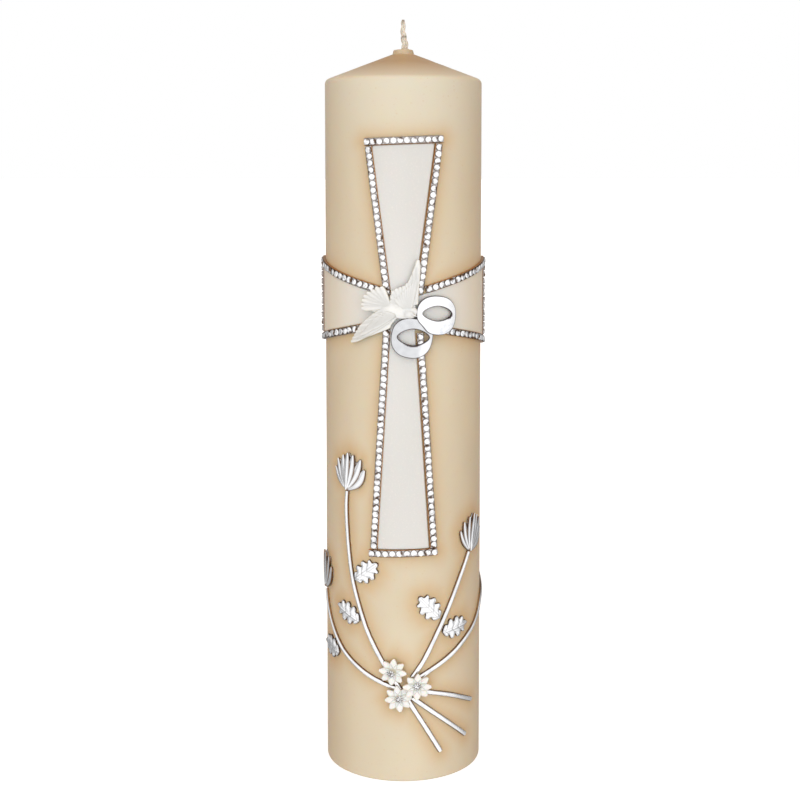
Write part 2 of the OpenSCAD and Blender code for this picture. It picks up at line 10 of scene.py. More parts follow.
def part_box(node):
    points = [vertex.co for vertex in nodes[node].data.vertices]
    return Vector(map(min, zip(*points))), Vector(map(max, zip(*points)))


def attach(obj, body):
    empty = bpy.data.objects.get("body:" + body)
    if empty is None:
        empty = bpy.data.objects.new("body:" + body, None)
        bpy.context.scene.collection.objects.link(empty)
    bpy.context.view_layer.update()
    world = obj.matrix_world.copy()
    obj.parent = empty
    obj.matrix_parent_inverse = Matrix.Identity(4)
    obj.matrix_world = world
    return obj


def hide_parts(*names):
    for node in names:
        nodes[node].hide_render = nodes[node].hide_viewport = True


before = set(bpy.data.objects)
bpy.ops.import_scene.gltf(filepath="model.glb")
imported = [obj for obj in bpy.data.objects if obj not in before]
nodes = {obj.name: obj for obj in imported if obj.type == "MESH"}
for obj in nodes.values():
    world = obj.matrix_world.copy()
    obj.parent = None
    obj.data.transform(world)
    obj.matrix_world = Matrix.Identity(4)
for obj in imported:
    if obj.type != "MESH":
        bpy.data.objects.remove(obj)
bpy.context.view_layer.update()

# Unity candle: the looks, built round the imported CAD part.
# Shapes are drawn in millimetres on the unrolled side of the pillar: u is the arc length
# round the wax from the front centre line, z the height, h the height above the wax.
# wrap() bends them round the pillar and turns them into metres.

MM = 0.001
wax_low, wax_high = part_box("wax_body")
R = (wax_high.x - wax_low.x) / 2 / MM
NUB_TOP = wax_high.z / MM


def add_object(name, data):
    thing = bpy.data.objects.new(name, data)
    bpy.context.scene.collection.objects.link(thing)
    return thing


def heading(a):
    """Unit arrow at the angle a, in radians."""
    return np.array([math.cos(a), math.sin(a)])


def wobble(x, y, z):
    """Smooth unevenness, about -1 to 1."""
    return noise.noise(Vector((x, y, z)))


# ---------------------------------------------------------------- camera and light

def make_camera():
    """Eye level with the upper part of the candle, 600 mm in front of the wax."""
    data = bpy.data.cameras.new("camera")
    data.sensor_width = 36
    data.lens = 63.36
    data.shift_x = -0.0041
    data.shift_y = -0.1404
    camera = add_object("camera", data)
    camera.location = (0, -(R + 600) * MM, 0.2686)
    camera.rotation_euler = (math.radians(90 - 4.77), 0, 0)
    bpy.context.scene.camera = camera


def add_node(tree, kind, settings=None, **inputs):
    """A shader node; each input is given a value or another node's output."""
    node = tree.nodes.new("ShaderNode" + kind)
    for key, value in (settings or {}).items():
        setattr(node, key, value)
    for key, value in inputs.items():
        socket = node.inputs[key.replace("_", " ")]
        if isinstance(value, bpy.types.NodeSocket):
            tree.links.new(value, socket)
        else:
            socket.default_value = value
    return node


def ramp(tree, value, a, b, low, high, smooth=False):
    """Goes from low to high while the value goes from a to b."""
    way = {"interpolation_type": "SMOOTHSTEP" if smooth else "LINEAR"}
    return add_node(tree, "MapRange", way, Value=value, From_Min=a, From_Max=b, To_Min=low,
                    To_Max=high).outputs[0]


def calculate(tree, kind, a, b):
    """A Math node of two outputs."""
    node = add_node(tree, "Math", {"operation": kind})
    tree.links.new(a, node.inputs[0])
    tree.links.new(b, node.inputs[1])
    return node.outputs[0]


def blend(tree, factor, a, b):
    """From colour a to colour b; each is a colour or an output."""
    node = add_node(tree, "Mix", {"data_type": "RGBA"}, Factor=factor)
    for slot, v in (("A", a), ("B", b)):
        socket = [i for i in node.inputs if i.name == slot and i.type == "RGBA"][0]
        if isinstance(v, tuple):
            socket.default_value = (*v, 1)
        else:
            tree.links.new(v, socket)
    return [o for o in node.outputs if o.type == "RGBA"][0]


def room_colour(tree, y, rear, glossy):
    """Warm from the sides, white from the front and in reflections, nearly so from behind."""
    frontal = ramp(tree, y, 0.0, -0.85, 0.0, 1.0)
    neutral = calculate(tree, "MAXIMUM", calculate(tree, "MAXIMUM", frontal, glossy), rear)
    return blend(tree, neutral, (1.0, 0.58, 0.25), (1.0, 1.0, 1.0))


def room_strength(tree, y, z, rear, glossy):
    """Bright in front and behind, dim at the sides, brighter overhead."""
    front = ramp(tree, y, 0.2, -0.8, 0.34, 1.18, smooth=True)
    above = ramp(tree, z, 0.45, 1.0, 1.0, 1.8, smooth=True)
    shone = calculate(tree, "MULTIPLY", calculate(tree, "ADD", front, rear), above)
    mirrored = ramp(tree, y, 0.5, -0.6, 0.42, 1.22, smooth=True)
    return add_node(tree, "Mix", Factor=glossy, A=shone, B=mirrored).outputs[0]


def softbox(name, place, size, power):
    """A large soft lamp aimed at the middle of the candle, unseen in reflections."""
    data = bpy.data.lights.new(name, "AREA")
    data.shape = "RECTANGLE"
    data.size, data.size_y = size
    data.energy = power
    data.color = (1.0, 0.99, 0.98)
    lamp = add_object(name, data)
    lamp.location = place
    aim = Vector((0, 0, 0.17)) - Vector(place)
    lamp.rotation_euler = aim.to_track_quat("-Z", "Y").to_euler()
    lamp.visible_glossy = False


def make_room():
    """A soft room whose light depends on its direction; the camera sees plain white."""
    world = bpy.data.worlds.new("studio")
    bpy.context.scene.world = world
    world.use_nodes = True
    tree = world.node_tree
    tree.nodes.clear()
    coord = add_node(tree, "TexCoord")
    split = add_node(tree, "SeparateXYZ", Vector=coord.outputs["Generated"])
    y, z = split.outputs["Y"], split.outputs["Z"]
    rear = ramp(tree, y, 0.3, 1.0, 0.0, 0.7, smooth=True)
    path = add_node(tree, "LightPath")
    glossy = path.outputs["Is Glossy Ray"]
    room = add_node(tree, "Background", Color=room_colour(tree, y, rear, glossy),
                    Strength=room_strength(tree, y, z, rear, glossy))
    wall = add_node(tree, "Background", Color=(1, 1, 1, 1))
    mix = add_node(tree, "MixShader")
    tree.links.new(path.outputs["Is Camera Ray"], mix.inputs[0])
    tree.links.new(room.outputs[0], mix.inputs[1])
    tree.links.new(wall.outputs[0], mix.inputs[2])
    add_node(tree, "OutputWorld", Surface=mix.outputs[0])


def make_light():
    make_room()
    softbox("key_light", (-0.45, -1.2, 0.1), (0.9, 1.2), 4.2)
    softbox("fill_light", (0.75, -1.05, 0.05), (0.6, 1.0), 1.5)
    bpy.context.scene.view_settings.view_transform = "Standard"


def floor_material():
    """Pale paper that glows, a little less round the foot of the candle."""
    material = bpy.data.materials.new("floor_paper")
    material.use_nodes = True
    tree = material.node_tree
    shader = tree.nodes["Principled BSDF"]
    shader.inputs["Base Color"].default_value = (0.42, 0.44, 0.47, 1)
    shader.inputs["Roughness"].default_value = 0.9
    shader.inputs["Emission Color"].default_value = (1, 1, 1, 1)
    coord = add_node(tree, "TexCoord")
    length = add_node(tree, "VectorMath", {"operation": "LENGTH"},
                      Vector=coord.outputs["Object"])
    glow = ramp(tree, length.outputs["Value"], 0.1, 1.0, 0.80, 1.0, smooth=True)
    tree.links.new(glow, shader.inputs["Emission Strength"])
    return material


def make_floor():
    """A wide floor that casts no light on the candle and isn't mirrored in it."""
    side = 40.0
    mesh = bpy.data.meshes.new("floor")
    mesh.from_pydata([(-side, -side, 0), (side, -side, 0), (side, side, 0), (-side, side, 0)],
                     [], [(0, 1, 2, 3)])
    mesh.materials.append(floor_material())
    floor = add_object("floor", mesh)
    floor.visible_diffuse = False
    floor.visible_glossy = False


# ---------------------------------------------------------------- node materials

class Shader:
    """Builds one Principled material from node steps."""

    def __init__(self, name):
        self.material = bpy.data.materials.new(name)
        self.material.use_nodes = True
        self.tree = self.material.node_tree
        self.bsdf = self.tree.nodes["Principled BSDF"]
        self.coord = add_node(self.tree, "TexCoord").outputs["Object"]

    def set(self, **values):
        for key, value in values.items():
            self.bsdf.inputs[key.replace("_", " ")].default_value = value

    def noise(self, scale, detail=3.0, stretch=(1, 1, 1), distortion=0.0):
        move = add_node(self.tree, "Mapping", Vector=self.coord, Scale=stretch)
        return add_node(self.tree, "TexNoise", Vector=move.outputs[0], Scale=scale,
                        Detail=detail, Distortion=distortion).outputs["Fac"]

    def cells(self, scale):
        return add_node(self.tree, "TexVoronoi", Vector=self.coord,
                        Scale=scale).outputs["Distance"]

    def shade(self, name):
        """A mesh attribute."""
        return add_node(self.tree, "Attribute", {"attribute_name": name}).outputs["Fac"]

    def range(self, value, a, b, low, high):
        return ramp(self.tree, value, a, b, low, high)

    def mix(self, factor, a, b):
        return blend(self.tree, factor, a, b)

    def clouds(self, pattern, a, b):
        """Soft patches of two colours."""
        return self.mix(self.range(pattern, 0.35, 0.65, 0, 1), a, b)

    def colour(self, value):
        self.tree.links.new(value, self.bsdf.inputs["Base Color"])

    def roughness(self, pattern, low, high):
        value = self.range(pattern, 0.3, 0.7, low, high)
        self.tree.links.new(value, self.bsdf.inputs["Roughness"])

    def bump(self, *layers):
        """Each layer is (height, strength, distance in millimetres)."""
        below = {}
        for height, strength, distance in layers:
            node = add_node(self.tree, "Bump", Height=height, Strength=strength,
                            Distance=distance * MM, **below)
            below = {"Normal": node.outputs[0]}
        self.tree.links.new(below["Normal"], self.bsdf.inputs["Normal"])
        return self.material


def wax_material():
    s = Shader("cream_wax")
    s.set(Subsurface_Weight=0.35, Subsurface_Radius=(0.9, 0.45, 0.2), Subsurface_Scale=0.004,
          Specular_IOR_Level=0.25, Coat_Weight=0.04, Coat_Roughness=0.25)
    cloud = s.noise(28, 3, (1, 1, 0.5))
    body = s.clouds(cloud, (0.64, 0.59, 0.46), (0.675, 0.625, 0.49))
    # painted highlight: the wax is painted paler and whiter from 255 mm up
    top = s.mix(s.shade("pale"), body, (0.675, 0.655, 0.545))
    # painted warm shadow on the wax beside the decorations
    near = s.mix(s.shade("decoration_shadow"), top, (0.61, 0.44, 0.24))
    cone = s.mix(s.shade("cone"), near, (0.475, 0.35, 0.20))
    speck = s.noise(900, 2)
    s.colour(s.mix(s.range(speck, 0.66, 0.78, 0, 0.35), cone, (0.58, 0.42, 0.24)))
    s.roughness(s.noise(60, 4), 0.30, 0.42)
    return s.bump((s.noise(35, 2, (1, 1, 0.35)), 0.25, 1.2),
                  (s.noise(700, 3), 0.10, 0.15))


def pearl_sheet_material():
    s = Shader("pearl_sheet")
    s.set(Specular_IOR_Level=0.55, Coat_Weight=0.35, Coat_Roughness=0.22, Sheen_Weight=0.25,
          Sheen_Roughness=0.4, Subsurface_Weight=0.1, Subsurface_Scale=0.002)
    grain = s.noise(1600, 3)
    drift = s.noise(24, 2, (1, 1, 0.4))
    tone = s.clouds(drift, (0.59, 0.61, 0.61), (0.64, 0.66, 0.665))
    marked = s.mix(s.range(grain, 0.55, 0.75, 0, 0.3), tone, (0.82, 0.80, 0.77))
    # painted light: the sheet is painted paler and warmer towards the ends of the arms, where they
    # turn away round the pillar
    s.colour(s.mix(s.shade("end"), marked, (0.76, 0.74, 0.65)))
    s.roughness(grain, 0.30, 0.48)
    return s.bump((drift, 0.2, 0.6), (grain, 0.12, 0.05))


def pearl_material(name, grain_size, patch_size, patches, darkening, gloss, relief, **values):
    s = Shader(name)
    s.set(Specular_IOR_Level=0.6, Sheen_Weight=0.3, Sheen_Roughness=0.35, **values)
    grain = s.noise(grain_size, 3)
    tone = s.clouds(s.noise(patch_size, 2), *patches)
    # painted shade where groove is high: between feathers and petals, along edges and underneath
    s.colour(s.mix(s.shade("groove"), tone, darkening))
    s.roughness(grain, *gloss)
    return s.bump((grain, relief, 0.05))


def dove_material():
    return pearl_material(
        "pearl_dove", 1400, 160, [(0.76, 0.81, 0.815), (0.80, 0.845, 0.855)],
        (0.60, 0.60, 0.52), (0.26, 0.42), 0.15, Coat_Weight=0.5, Coat_Roughness=0.15,
        Subsurface_Weight=0.25, Subsurface_Scale=0.0015, Subsurface_Radius=(1.0, 0.9, 0.7))


def petal_material():
    return pearl_material(
        "pearl_petal", 1500, 350, [(0.77, 0.80, 0.785), (0.84, 0.84, 0.85)],
        (0.42, 0.39, 0.30), (0.20, 0.36), 0.12, Coat_Weight=0.6, Coat_Roughness=0.12,
        Subsurface_Weight=0.2, Subsurface_Scale=0.0012)


def silver_material(name, bright, dark, rough, crinkle, grey=(0.62, 0.64, 0.68), painted_dark=0.5):
    """Bright silver foil with painted light. Up to 1, the groove attribute paints it dark, as
    shade in creases, at edges and on shaded sides, with tarnish in the hollows. At 2 it paints a
    bronze reflection of the warm wax. grey is the colour of painted grey reflections, laid in
    noise streaks and wherever the shade attribute asks for them.
    """
    s = Shader(name)
    s.set(Metallic=1.0, Specular_IOR_Level=0.5)
    cloud = s.noise(260, 3)
    tone = s.clouds(cloud, tuple(c * 0.95 for c in bright), bright)
    # painted reflections: grey streaks and patches on the silver
    streak = s.range(s.noise(120, 3, (1, 1, 0.4), 1.5), 0.5, 0.72, 0, painted_dark)
    with_reflections = s.mix(calculate(s.tree, "MAXIMUM", streak, s.shade("shade")), tone, grey)
    # painted shade, with tarnish in the hollows
    marked = s.mix(s.range(s.shade("groove"), 0, 1, 0, 1), with_reflections, dark)
    # painted bronze reflection of the warm wax
    s.colour(s.mix(s.range(s.shade("groove"), 1, 2, 0, 1), marked, (0.56, 0.29, 0.12)))
    s.roughness(s.noise(420, 3), rough, rough + 0.14)
    return s.bump((s.noise(330, 2, (1, 1, 1), 0.8), crinkle, 0.35),
                  (s.cells(1500), crinkle * 0.4, 0.06))


def cotton_material():
    s = Shader("waxed_cotton")
    s.set(Sheen_Weight=0.4, Sheen_Roughness=0.6, Specular_IOR_Level=0.3,
          Subsurface_Weight=0.15, Subsurface_Scale=0.001)
    fibre = s.noise(700, 2, (1, 1, 0.25))
    tone = s.clouds(fibre, (0.55, 0.52, 0.44), (0.78, 0.76, 0.69))
    # painted shade between the fibres and where the strands cross, and darker towards the tip
    s.colour(s.mix(s.shade("groove"), tone, (0.22, 0.19, 0.15)))
    s.roughness(fibre, 0.55, 0.85)
    return s.bump((fibre, 0.3, 0.1))


def stone_material():
    s = Shader("cut_stone")
    s.set(Metallic=0.85, Coat_Weight=1.0, Coat_Roughness=0.03)
    # painted reflections: the facets are painted bright and dark
    flash = s.cells(1300)
    tone = s.mix(s.range(flash, 0.15, 0.75, 0, 1), (0.92, 0.93, 0.95), (0.16, 0.14, 0.13))
    # painted shade round the stone's foot
    s.colour(s.mix(s.shade("groove"), tone, (0.05, 0.04, 0.035)))
    s.roughness(s.noise(300, 2), 0.05, 0.16)
    return s.bump((s.noise(900, 1), 0.08, 0.05))


# ---------------------------------------------------------------- meshes round the pillar

def wrap(points):
    """(u, z, h) rows in millimetres to places in metres."""
    p = np.asarray(points, float)
    a = p[:, 0] / R
    r = (R + p[:, 2]) * MM
    return np.column_stack([r * np.sin(a), -r * np.cos(a), p[:, 1] * MM])


def tube(rings, around, start=0):
    """Quads between neighbouring rings of points."""
    return [(start + i * around + k, start + i * around + (k + 1) % around,
             start + (i + 1) * around + (k + 1) % around, start + (i + 1) * around + k)
            for i in range(rings - 1) for k in range(around)]


def dome_faces(rings, around):
    """Closed dome: rings from the foot up, then the apex, then a ring under the foot."""
    apex, under = rings * around, rings * around + 1
    last = apex - around
    faces = tube(rings, around)
    faces += [(last + j, last + (j + 1) % around, apex) for j in range(around)]
    faces += [(under + j, under + (j + 1) % around, (j + 1) % around, j) for j in range(around)]
    return faces + [tuple(under + j for j in range(around - 1, -1, -1))]


class Solid:
    """Collects closed shells in (u, z, h), each vertex with its groove shade."""

    def __init__(self):
        self.points, self.faces, self.groove, self.painted_dark = [], [], [], []

    def add(self, points, faces, groove=None, painted_dark=None):
        start = len(self.points)
        self.points += [tuple(p) for p in points]
        self.faces += [tuple(start + i for i in f) for f in faces]
        self.groove += list(groove) if groove is not None else [0.0] * len(points)
        self.painted_dark += list(painted_dark) if painted_dark is not None else [0.0] * len(points)

    def build(self, name, material, slot, *stands_for, flat=False, shade=None):
        # groove and shade carry the painted shade and the painted reflections to the materials
        shades = {"groove": self.groove, "shade": self.painted_dark}
        if shade:
            shades["shade"] = shade(np.array(self.points))
        return make_piece(name, wrap(self.points), self.faces, material, stands_for,
                          shades, flat)


def make_piece(name, places, faces, material, stands_for, shades=None, flat=False):
    mesh = bpy.data.meshes.new(name)
    mesh.from_pydata([tuple(p) for p in places], [], faces)
    for shade, values in (shades or {}).items():
        layer = mesh.attributes.new(shade, "FLOAT", "POINT")
        layer.data.foreach_set("value", np.asarray(values, np.float32))
    piece = add_object(name, mesh)
    bm = bmesh.new()
    bm.from_mesh(mesh)
    bmesh.ops.recalc_face_normals(bm, faces=bm.faces)
    bm.to_mesh(mesh)
    bm.free()
    mesh.materials.append(material)
    mesh.polygons.foreach_set("use_smooth", [not flat] * len(mesh.polygons))
    if not flat:
        mesh.set_sharp_from_angle(angle=math.radians(50))
    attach(piece, "root")
    if stands_for:
        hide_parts(*stands_for)
    return piece


def unrolled(node):
    """A CAD node's vertices as (u, z, h) rows in millimetres."""
    mesh = nodes[node].data
    co = np.empty(len(mesh.vertices) * 3)
    mesh.vertices.foreach_get("co", co)
    co = co.reshape(-1, 3) / MM
    return np.column_stack([np.arctan2(co[:, 0], -co[:, 1]) * R, co[:, 2],
                            np.hypot(co[:, 0], co[:, 1]) - R])


def outlines(node, facing=1):
    """Closed outlines of a CAD node's outer face, or of its back, the longest first."""
    flat = unrolled(node)
    bm = bmesh.new()
    verts = [bm.verts.new((p[0], p[1], 0)) for p in flat]
    for face in nodes[node].data.polygons:
        out = Vector((face.center.x, face.center.y, 0)).normalized()
        if facing * face.normal.dot(out) > 0.25:
            bm.faces.new([verts[i] for i in face.vertices])
    bmesh.ops.remove_doubles(bm, verts=bm.verts, dist=0.02)
    edges = {e: True for e in bm.edges if len(e.link_faces) == 1}    # keeps their order
    loops = []
    while edges:
        edge = next(iter(edges))
        del edges[edge]
        loop = [edge.verts[0], edge.verts[1]]
        while loop[-1] is not loop[0]:
            following = [e for e in loop[-1].link_edges if e in edges]
            if not following:
                break
            del edges[following[0]]
            loop.append(following[0].other_vert(loop[-1]))
        loops.append(np.array([(v.co.x, v.co.y) for v in loop[:-1]]))
    bm.free()
    loops = [turned_left(p) for p in loops if len(p) > 5]
    return sorted(loops, key=lambda p: -np.abs(np.diff(p, axis=0)).sum())


def turned_left(p):
    """The outline, anticlockwise."""
    x, y = p[:, 0], p[:, 1]
    area = np.sum(x * np.roll(y, -1) - np.roll(x, -1) * y)
    return p if area > 0 else p[::-1]


def curve(a, b, c, d, step):
    """Catmull-Rom points from b up to c, without c, about step apart."""
    count = max(1, int(round(np.linalg.norm(c - b) / step)))
    return [0.5 * (2 * b + (c - a) * t + (2 * a - 5 * b + 4 * c - d) * t ** 2
                   + (3 * b - a - 3 * c + d) * t ** 3) for t in np.arange(count) / count]


def smooth_loop(p, step):
    """Closed curve through the points."""
    n = len(p)
    return np.array([q for i in range(n) for q in
                     curve(p[i - 1], p[i], p[(i + 1) % n], p[(i + 2) % n], step)])


def smooth_line(p, step):
    """Open curve through the points."""
    p = np.asarray(p, float)
    n = len(p)
    return np.array([q for i in range(n - 1) for q in
                     curve(p[max(i - 1, 0)], p[i], p[i + 1], p[min(i + 2, n - 1)], step)]
                    + [p[-1]])


def edge_distance(points, loops):
    """Distance of each point to the nearest outline."""
    best = np.full(len(points), 1e9)
    for loop in loops:
        a, b = loop, np.roll(loop, -1, axis=0)
        d = b - a
        for start in range(0, len(points), 2000):
            p = points[start:start + 2000, None]
            t = np.clip(((p - a) * d).sum(2) / np.maximum((d * d).sum(1), 1e-12), 0, 1)
            gap = np.linalg.norm(p - (a + d * t[..., None]), axis=2).min(1)
            best[start:start + 2000] = np.minimum(best[start:start + 2000], gap)
    return best


def inside(points, loops):
    """True for each point that lies inside the first outline and outside the others."""
    result = np.zeros(len(points), bool)
    x, y = points[:, 0], points[:, 1]
    for loop in loops:
        a, b = loop, np.roll(loop, -1, axis=0)
        for (ax, ay), (bx, by) in zip(a, b):
            if ay == by:
                continue
            cross = ((ay > y) != (by > y)) & (x < (bx - ax) * (y - ay) / (by - ay) + ax)
            result ^= cross
    return result


def edge_rows(loops, insets):
    """Rows of points beside the outlines, on both sides, each with its distance."""
    rows = []
    for gap in insets:
        for loop in loops:
            t = np.roll(loop, -1, axis=0) - np.roll(loop, 1, axis=0)
            t /= np.linalg.norm(t, axis=1)[:, None] + 1e-9
            side = gap * np.column_stack([-t[:, 1], t[:, 0]])
            rows += [(gap, loop + side), (gap, loop - side)]
    return rows


def grid_inside(loops, spacing, clear):
    """Even points inside the outlines, at least clear away from them."""
    fixed = np.concatenate(loops)
    low, high = fixed.min(0), fixed.max(0)
    row = spacing * math.sqrt(3) / 2
    grid = np.array([(x + (k % 2) * spacing / 2, low[1] + k * row)
                     for k in range(int((high[1] - low[1]) / row) + 2)
                     for x in np.arange(low[0], high[0] + spacing, spacing)])
    grid = grid[inside(grid, loops)]
    return grid[edge_distance(grid, loops) > clear]


def filled(loops, spacing, insets):
    """Points and triangles that fill the outlines."""
    edges, start = [], 0
    for loop in loops:
        n = len(loop)
        edges += [(start + i, start + (i + 1) % n) for i in range(n)]
        start += n
    points = [np.concatenate(loops)]
    for gap, row in edge_rows(loops, insets):
        row = row[inside(row, loops)]
        if len(row):
            points.append(row[edge_distance(row, loops) > 0.9 * gap])
    points.append(grid_inside(loops, spacing, insets[-1] + 0.45 * spacing))
    flat, _, triangles, *_ = geometry.delaunay_2d_cdt(
        [Vector(p) for p in np.concatenate(points)], edges, [], 0, 1e-7, False)
    flat = np.array([(v.x, v.y) for v in flat])
    centres = np.array([flat[list(t)].mean(0) for t in triangles])
    return flat, [t for t, keep in zip(triangles, inside(centres, loops)) if keep]


def rim_of(triangles):
    """The directed edges that only one triangle has."""
    rim = {}
    for t in triangles:
        for a, b in zip(t, (t[1], t[2], t[0])):
            if (b, a) in rim:
                del rim[(b, a)]
            else:
                rim[(a, b)] = True
    return rim


def relief(solid, loops, height, spacing, base, insets=(0.12, 0.3), groove=None):
    """Adds the closed plate inside the outlines; height(points, distance) is its top."""
    flat, triangles = filled(loops, spacing, insets)
    distance = edge_distance(flat, loops)
    n = len(flat)
    top = np.column_stack([flat, height(flat, distance)])
    under = np.column_stack([flat, np.full(n, base) if np.isscalar(base) else base(flat)])
    faces = [tuple(t) for t in triangles]
    faces += [tuple(n + i for i in reversed(t)) for t in triangles]
    faces += [(b, a, n + a, n + b) for a, b in rim_of(triangles)]
    shade = groove(flat, distance)
    # the underside is painted fully dark, as shade
    solid.add(np.concatenate([top, under]), faces, np.concatenate([shade, np.ones(n)]))


def rounded(distance, radius):
    """0 at the edge rising along a quarter circle to 1 at radius."""
    t = np.clip(distance / radius, 0, 1)
    return np.sqrt(np.maximum(0, 1 - (1 - t) ** 2))


def ribbon(solid, path, section, groove, width=None):
    """Closed strip along a path of (u, z); section rows are (across, h)."""
    path = np.asarray(path, float)
    n, m = len(path), len(section)
    d = np.gradient(path, axis=0)
    side = np.column_stack([-d[:, 1], d[:, 0]]) / np.linalg.norm(d, axis=1)[:, None]
    points, shades = [], []
    for i in range(n):
        scale = width[i] if width is not None else 1.0
        for (x, h), g in zip(section, groove):
            points.append((*(path[i] + side[i] * x * scale), h))
            shades.append(g)
    ends = [tuple(range(m - 1, -1, -1)), tuple((n - 1) * m + j for j in range(m))]
    solid.add(points, tube(n, m) + ends, shades)


def blade(solid, root, tip, half_width, rise, thick, bend=0.0, crown=0.3, ribs=0,
          rib_depth=0.0, rows=14, columns=8, edge_shade=0.6, cup=0.0, valley=0.0, edge_power=6):
    """Closed petal or feather from root to tip. half_width(t) and rise(t) run from root to
    tip; crown lifts its middle, cup lifts its edges, ribs are raised lines along it."""
    root, tip = np.array(root, float), np.array(tip, float)
    along = tip - root
    length = np.linalg.norm(along)
    along /= length
    across = np.array([-along[1], along[0]])
    top, under, shades, painted_dark = [], [], [], []
    for i in range(rows + 1):
        t = i / rows
        middle = root + along * length * t + across * bend * math.sin(math.pi * t)
        w = max(half_width(t), 0.03)
        for j in range(columns + 1):
            s = -1 + 2 * j / columns
            q = middle + across * w * s
            rib = rib_depth * math.cos(math.pi * ribs * s) * min(1, 3 * (1 - t)) if ribs else 0
            h = rise(t) + crown * (1 - s * s) + cup * s * s + rib
            top.append((q[0], q[1], h))
            under.append((q[0], q[1], rise(t) - thick))
            # painted shade along the edges, and a painted grey reflection down the middle
            shades.append(edge_shade * abs(s) ** edge_power)
            painted_dark.append(valley * (1 - s * s) ** 2 * (0.4 + 0.6 * t))
    n, m = len(top), columns + 1
    faces = []
    for i in range(rows):
        for j in range(columns):
            a, b = i * m + j, i * m + j + 1
            faces.append((a, a + m, b + m, b))
            faces.append((n + a, n + b, n + b + m, n + a + m))
    rim = ([i for i in range(m)] + [i * m + columns for i in range(1, rows + 1)]
           + [rows * m + j for j in range(columns - 1, -1, -1)]
           + [i * m for i in range(rows - 1, 0, -1)])
    faces += [(a, b, n + b, n + a) for a, b in zip(rim, rim[1:] + rim[:1])]
    solid.add(top + under, faces, shades + [1.0] * n, painted_dark + [0.0] * n)


# ---------------------------------------------------------------- the wax pillar

def wax_profile():
    """(radius, height) of the CAD pillar from the foot to the nub's top."""
    flat = unrolled("wax_body")
    outer = flat[flat[:, 2] + R > 2.6]
    pairs = sorted({(round(z, 2), -round(R + h, 2)) for _, z, h in outer})
    profile = [(-r, z) for z, r in pairs]
    cleaned = [profile[0]]
    for p in profile[1:]:
        if math.dist(p, cleaned[-1]) > 0.15:
            cleaned.append(p)
    return cleaned


def wax_rings(profile):
    """(radius, height) of the pillar's rings, from near the axis below to near it above."""
    row_gap = 1.6
    foot, crown = profile[0], profile[-1]
    rings = [(foot[0] * k / 4, 0.0) for k in range(1, 4)]
    for a, b in zip(profile, profile[1:]):
        pieces = max(1, int(math.dist(a, b) / row_gap))
        rings += [(a[0] + (b[0] - a[0]) * k / pieces, a[1] + (b[1] - a[1]) * k / pieces)
                  for k in range(pieces)]
    return rings + [crown] + [(crown[0] * k / 6, crown[1]) for k in range(5, 0, -1)]


def unevenness(x, y, z, shoulder, wick_x):
    """How far the wax swells outwards and rises at a place."""
    swell = 0.0
    lift = 0.0
    if z > 3 and math.hypot(x, y) > R - 0.5:
        swell = 0.05 * wobble(x / 16, y / 16, z / 40)
    if z > shoulder + 2:
        lift = 0.10 * wobble(x / 4, y / 4, 7.0)
    if z > NUB_TOP - 0.3:
        lift += 0.8 * math.exp(-max(0, math.hypot(x - wick_x, y) - 1.3) / 0.5)
    return swell, lift


def cone_shade(r, z):
    """Dark up the cone, paler on the side of the nub and palest on its top."""
    if r > 5.2:
        return min(1, max(0, (R - 1.5 - r) / 18))
    return 0.35 if z > NUB_TOP - 0.3 else 0.6


def painted_shadow_round(places, trim_points):
    """Painted warm shadow on the wax beside the decorations, gone about 10 mm away."""
    co = np.array(places) / MM
    flat = np.column_stack([np.arctan2(co[:, 0], -co[:, 1]) * R, co[:, 2]])
    decoration_shadow = np.zeros(len(flat))
    for start in range(0, len(flat), 1000):
        gap = np.linalg.norm(flat[start:start + 1000, None] - trim_points, axis=2).min(1)
        decoration_shadow[start:start + 1000] = 0.75 * np.exp(-(gap / 5.5) ** 2)
    return decoration_shadow, co[:, 2]


def make_wax(trim_points):
    turns = 224
    profile = wax_profile()
    rings = wax_rings(profile)
    shoulder = max(z for r, z in profile if r > R - 0.3)
    wick_low, wick_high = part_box("wick")
    wick_x = (wick_low.x + wick_high.x) / 2 / MM + 0.3
    places, pale, cone = [], [], []
    for r, z in rings:
        for k in range(turns):
            a = 2 * math.pi * k / turns
            x, y = r * math.cos(a), r * math.sin(a)
            swell, lift = unevenness(x, y, z, shoulder, wick_x)
            places.append(((x + swell * math.cos(a)) * MM, (y + swell * math.sin(a)) * MM,
                           (z + lift) * MM))
            # painted highlight on the wax from 255 mm up
            pale.append(min(1, max(0, (z - 255) / 50)) ** 1.2)
            cone.append(cone_shade(r, z))
    foot, crown = len(places), len(places) + 1
    top = foot - turns
    places += [(0, 0, 0), (0, 0, rings[-1][1] * MM)]
    faces = tube(len(rings), turns)
    faces += [(foot, (k + 1) % turns, k) for k in range(turns)]
    faces += [(crown, top + k, top + (k + 1) % turns) for k in range(turns)]
    decoration_shadow, heights = painted_shadow_round(places, trim_points)
    decoration_shadow[heights > shoulder] = 0
    make_piece("wax_pillar", places, faces, wax_material(), ["wax_body"],
               {"decoration_shadow": decoration_shadow, "pale": pale + [0, 1], "cone": cone + [0, 1]})


# ---------------------------------------------------------------- wick

def wick_line():
    """Middle of the CAD wick, from just inside the wax to its tip."""
    co = np.array([v.co for v in nodes["wick"].data.vertices]) / MM
    free = co[:, 2].max() - NUB_TOP
    line = []
    for z in [NUB_TOP + free * k / 6 for k in range(7)]:
        near = co[np.abs(co[:, 2] - z) < 1.3]
        if not len(near):
            near = co[np.abs(co[:, 2] - NUB_TOP) < 1.3]
        line.append(((near[:, 0].min() + near[:, 0].max()) / 2, 0, z))
    return smooth_line([(line[0][0], 0, NUB_TOP - 4)] + line, 0.22)


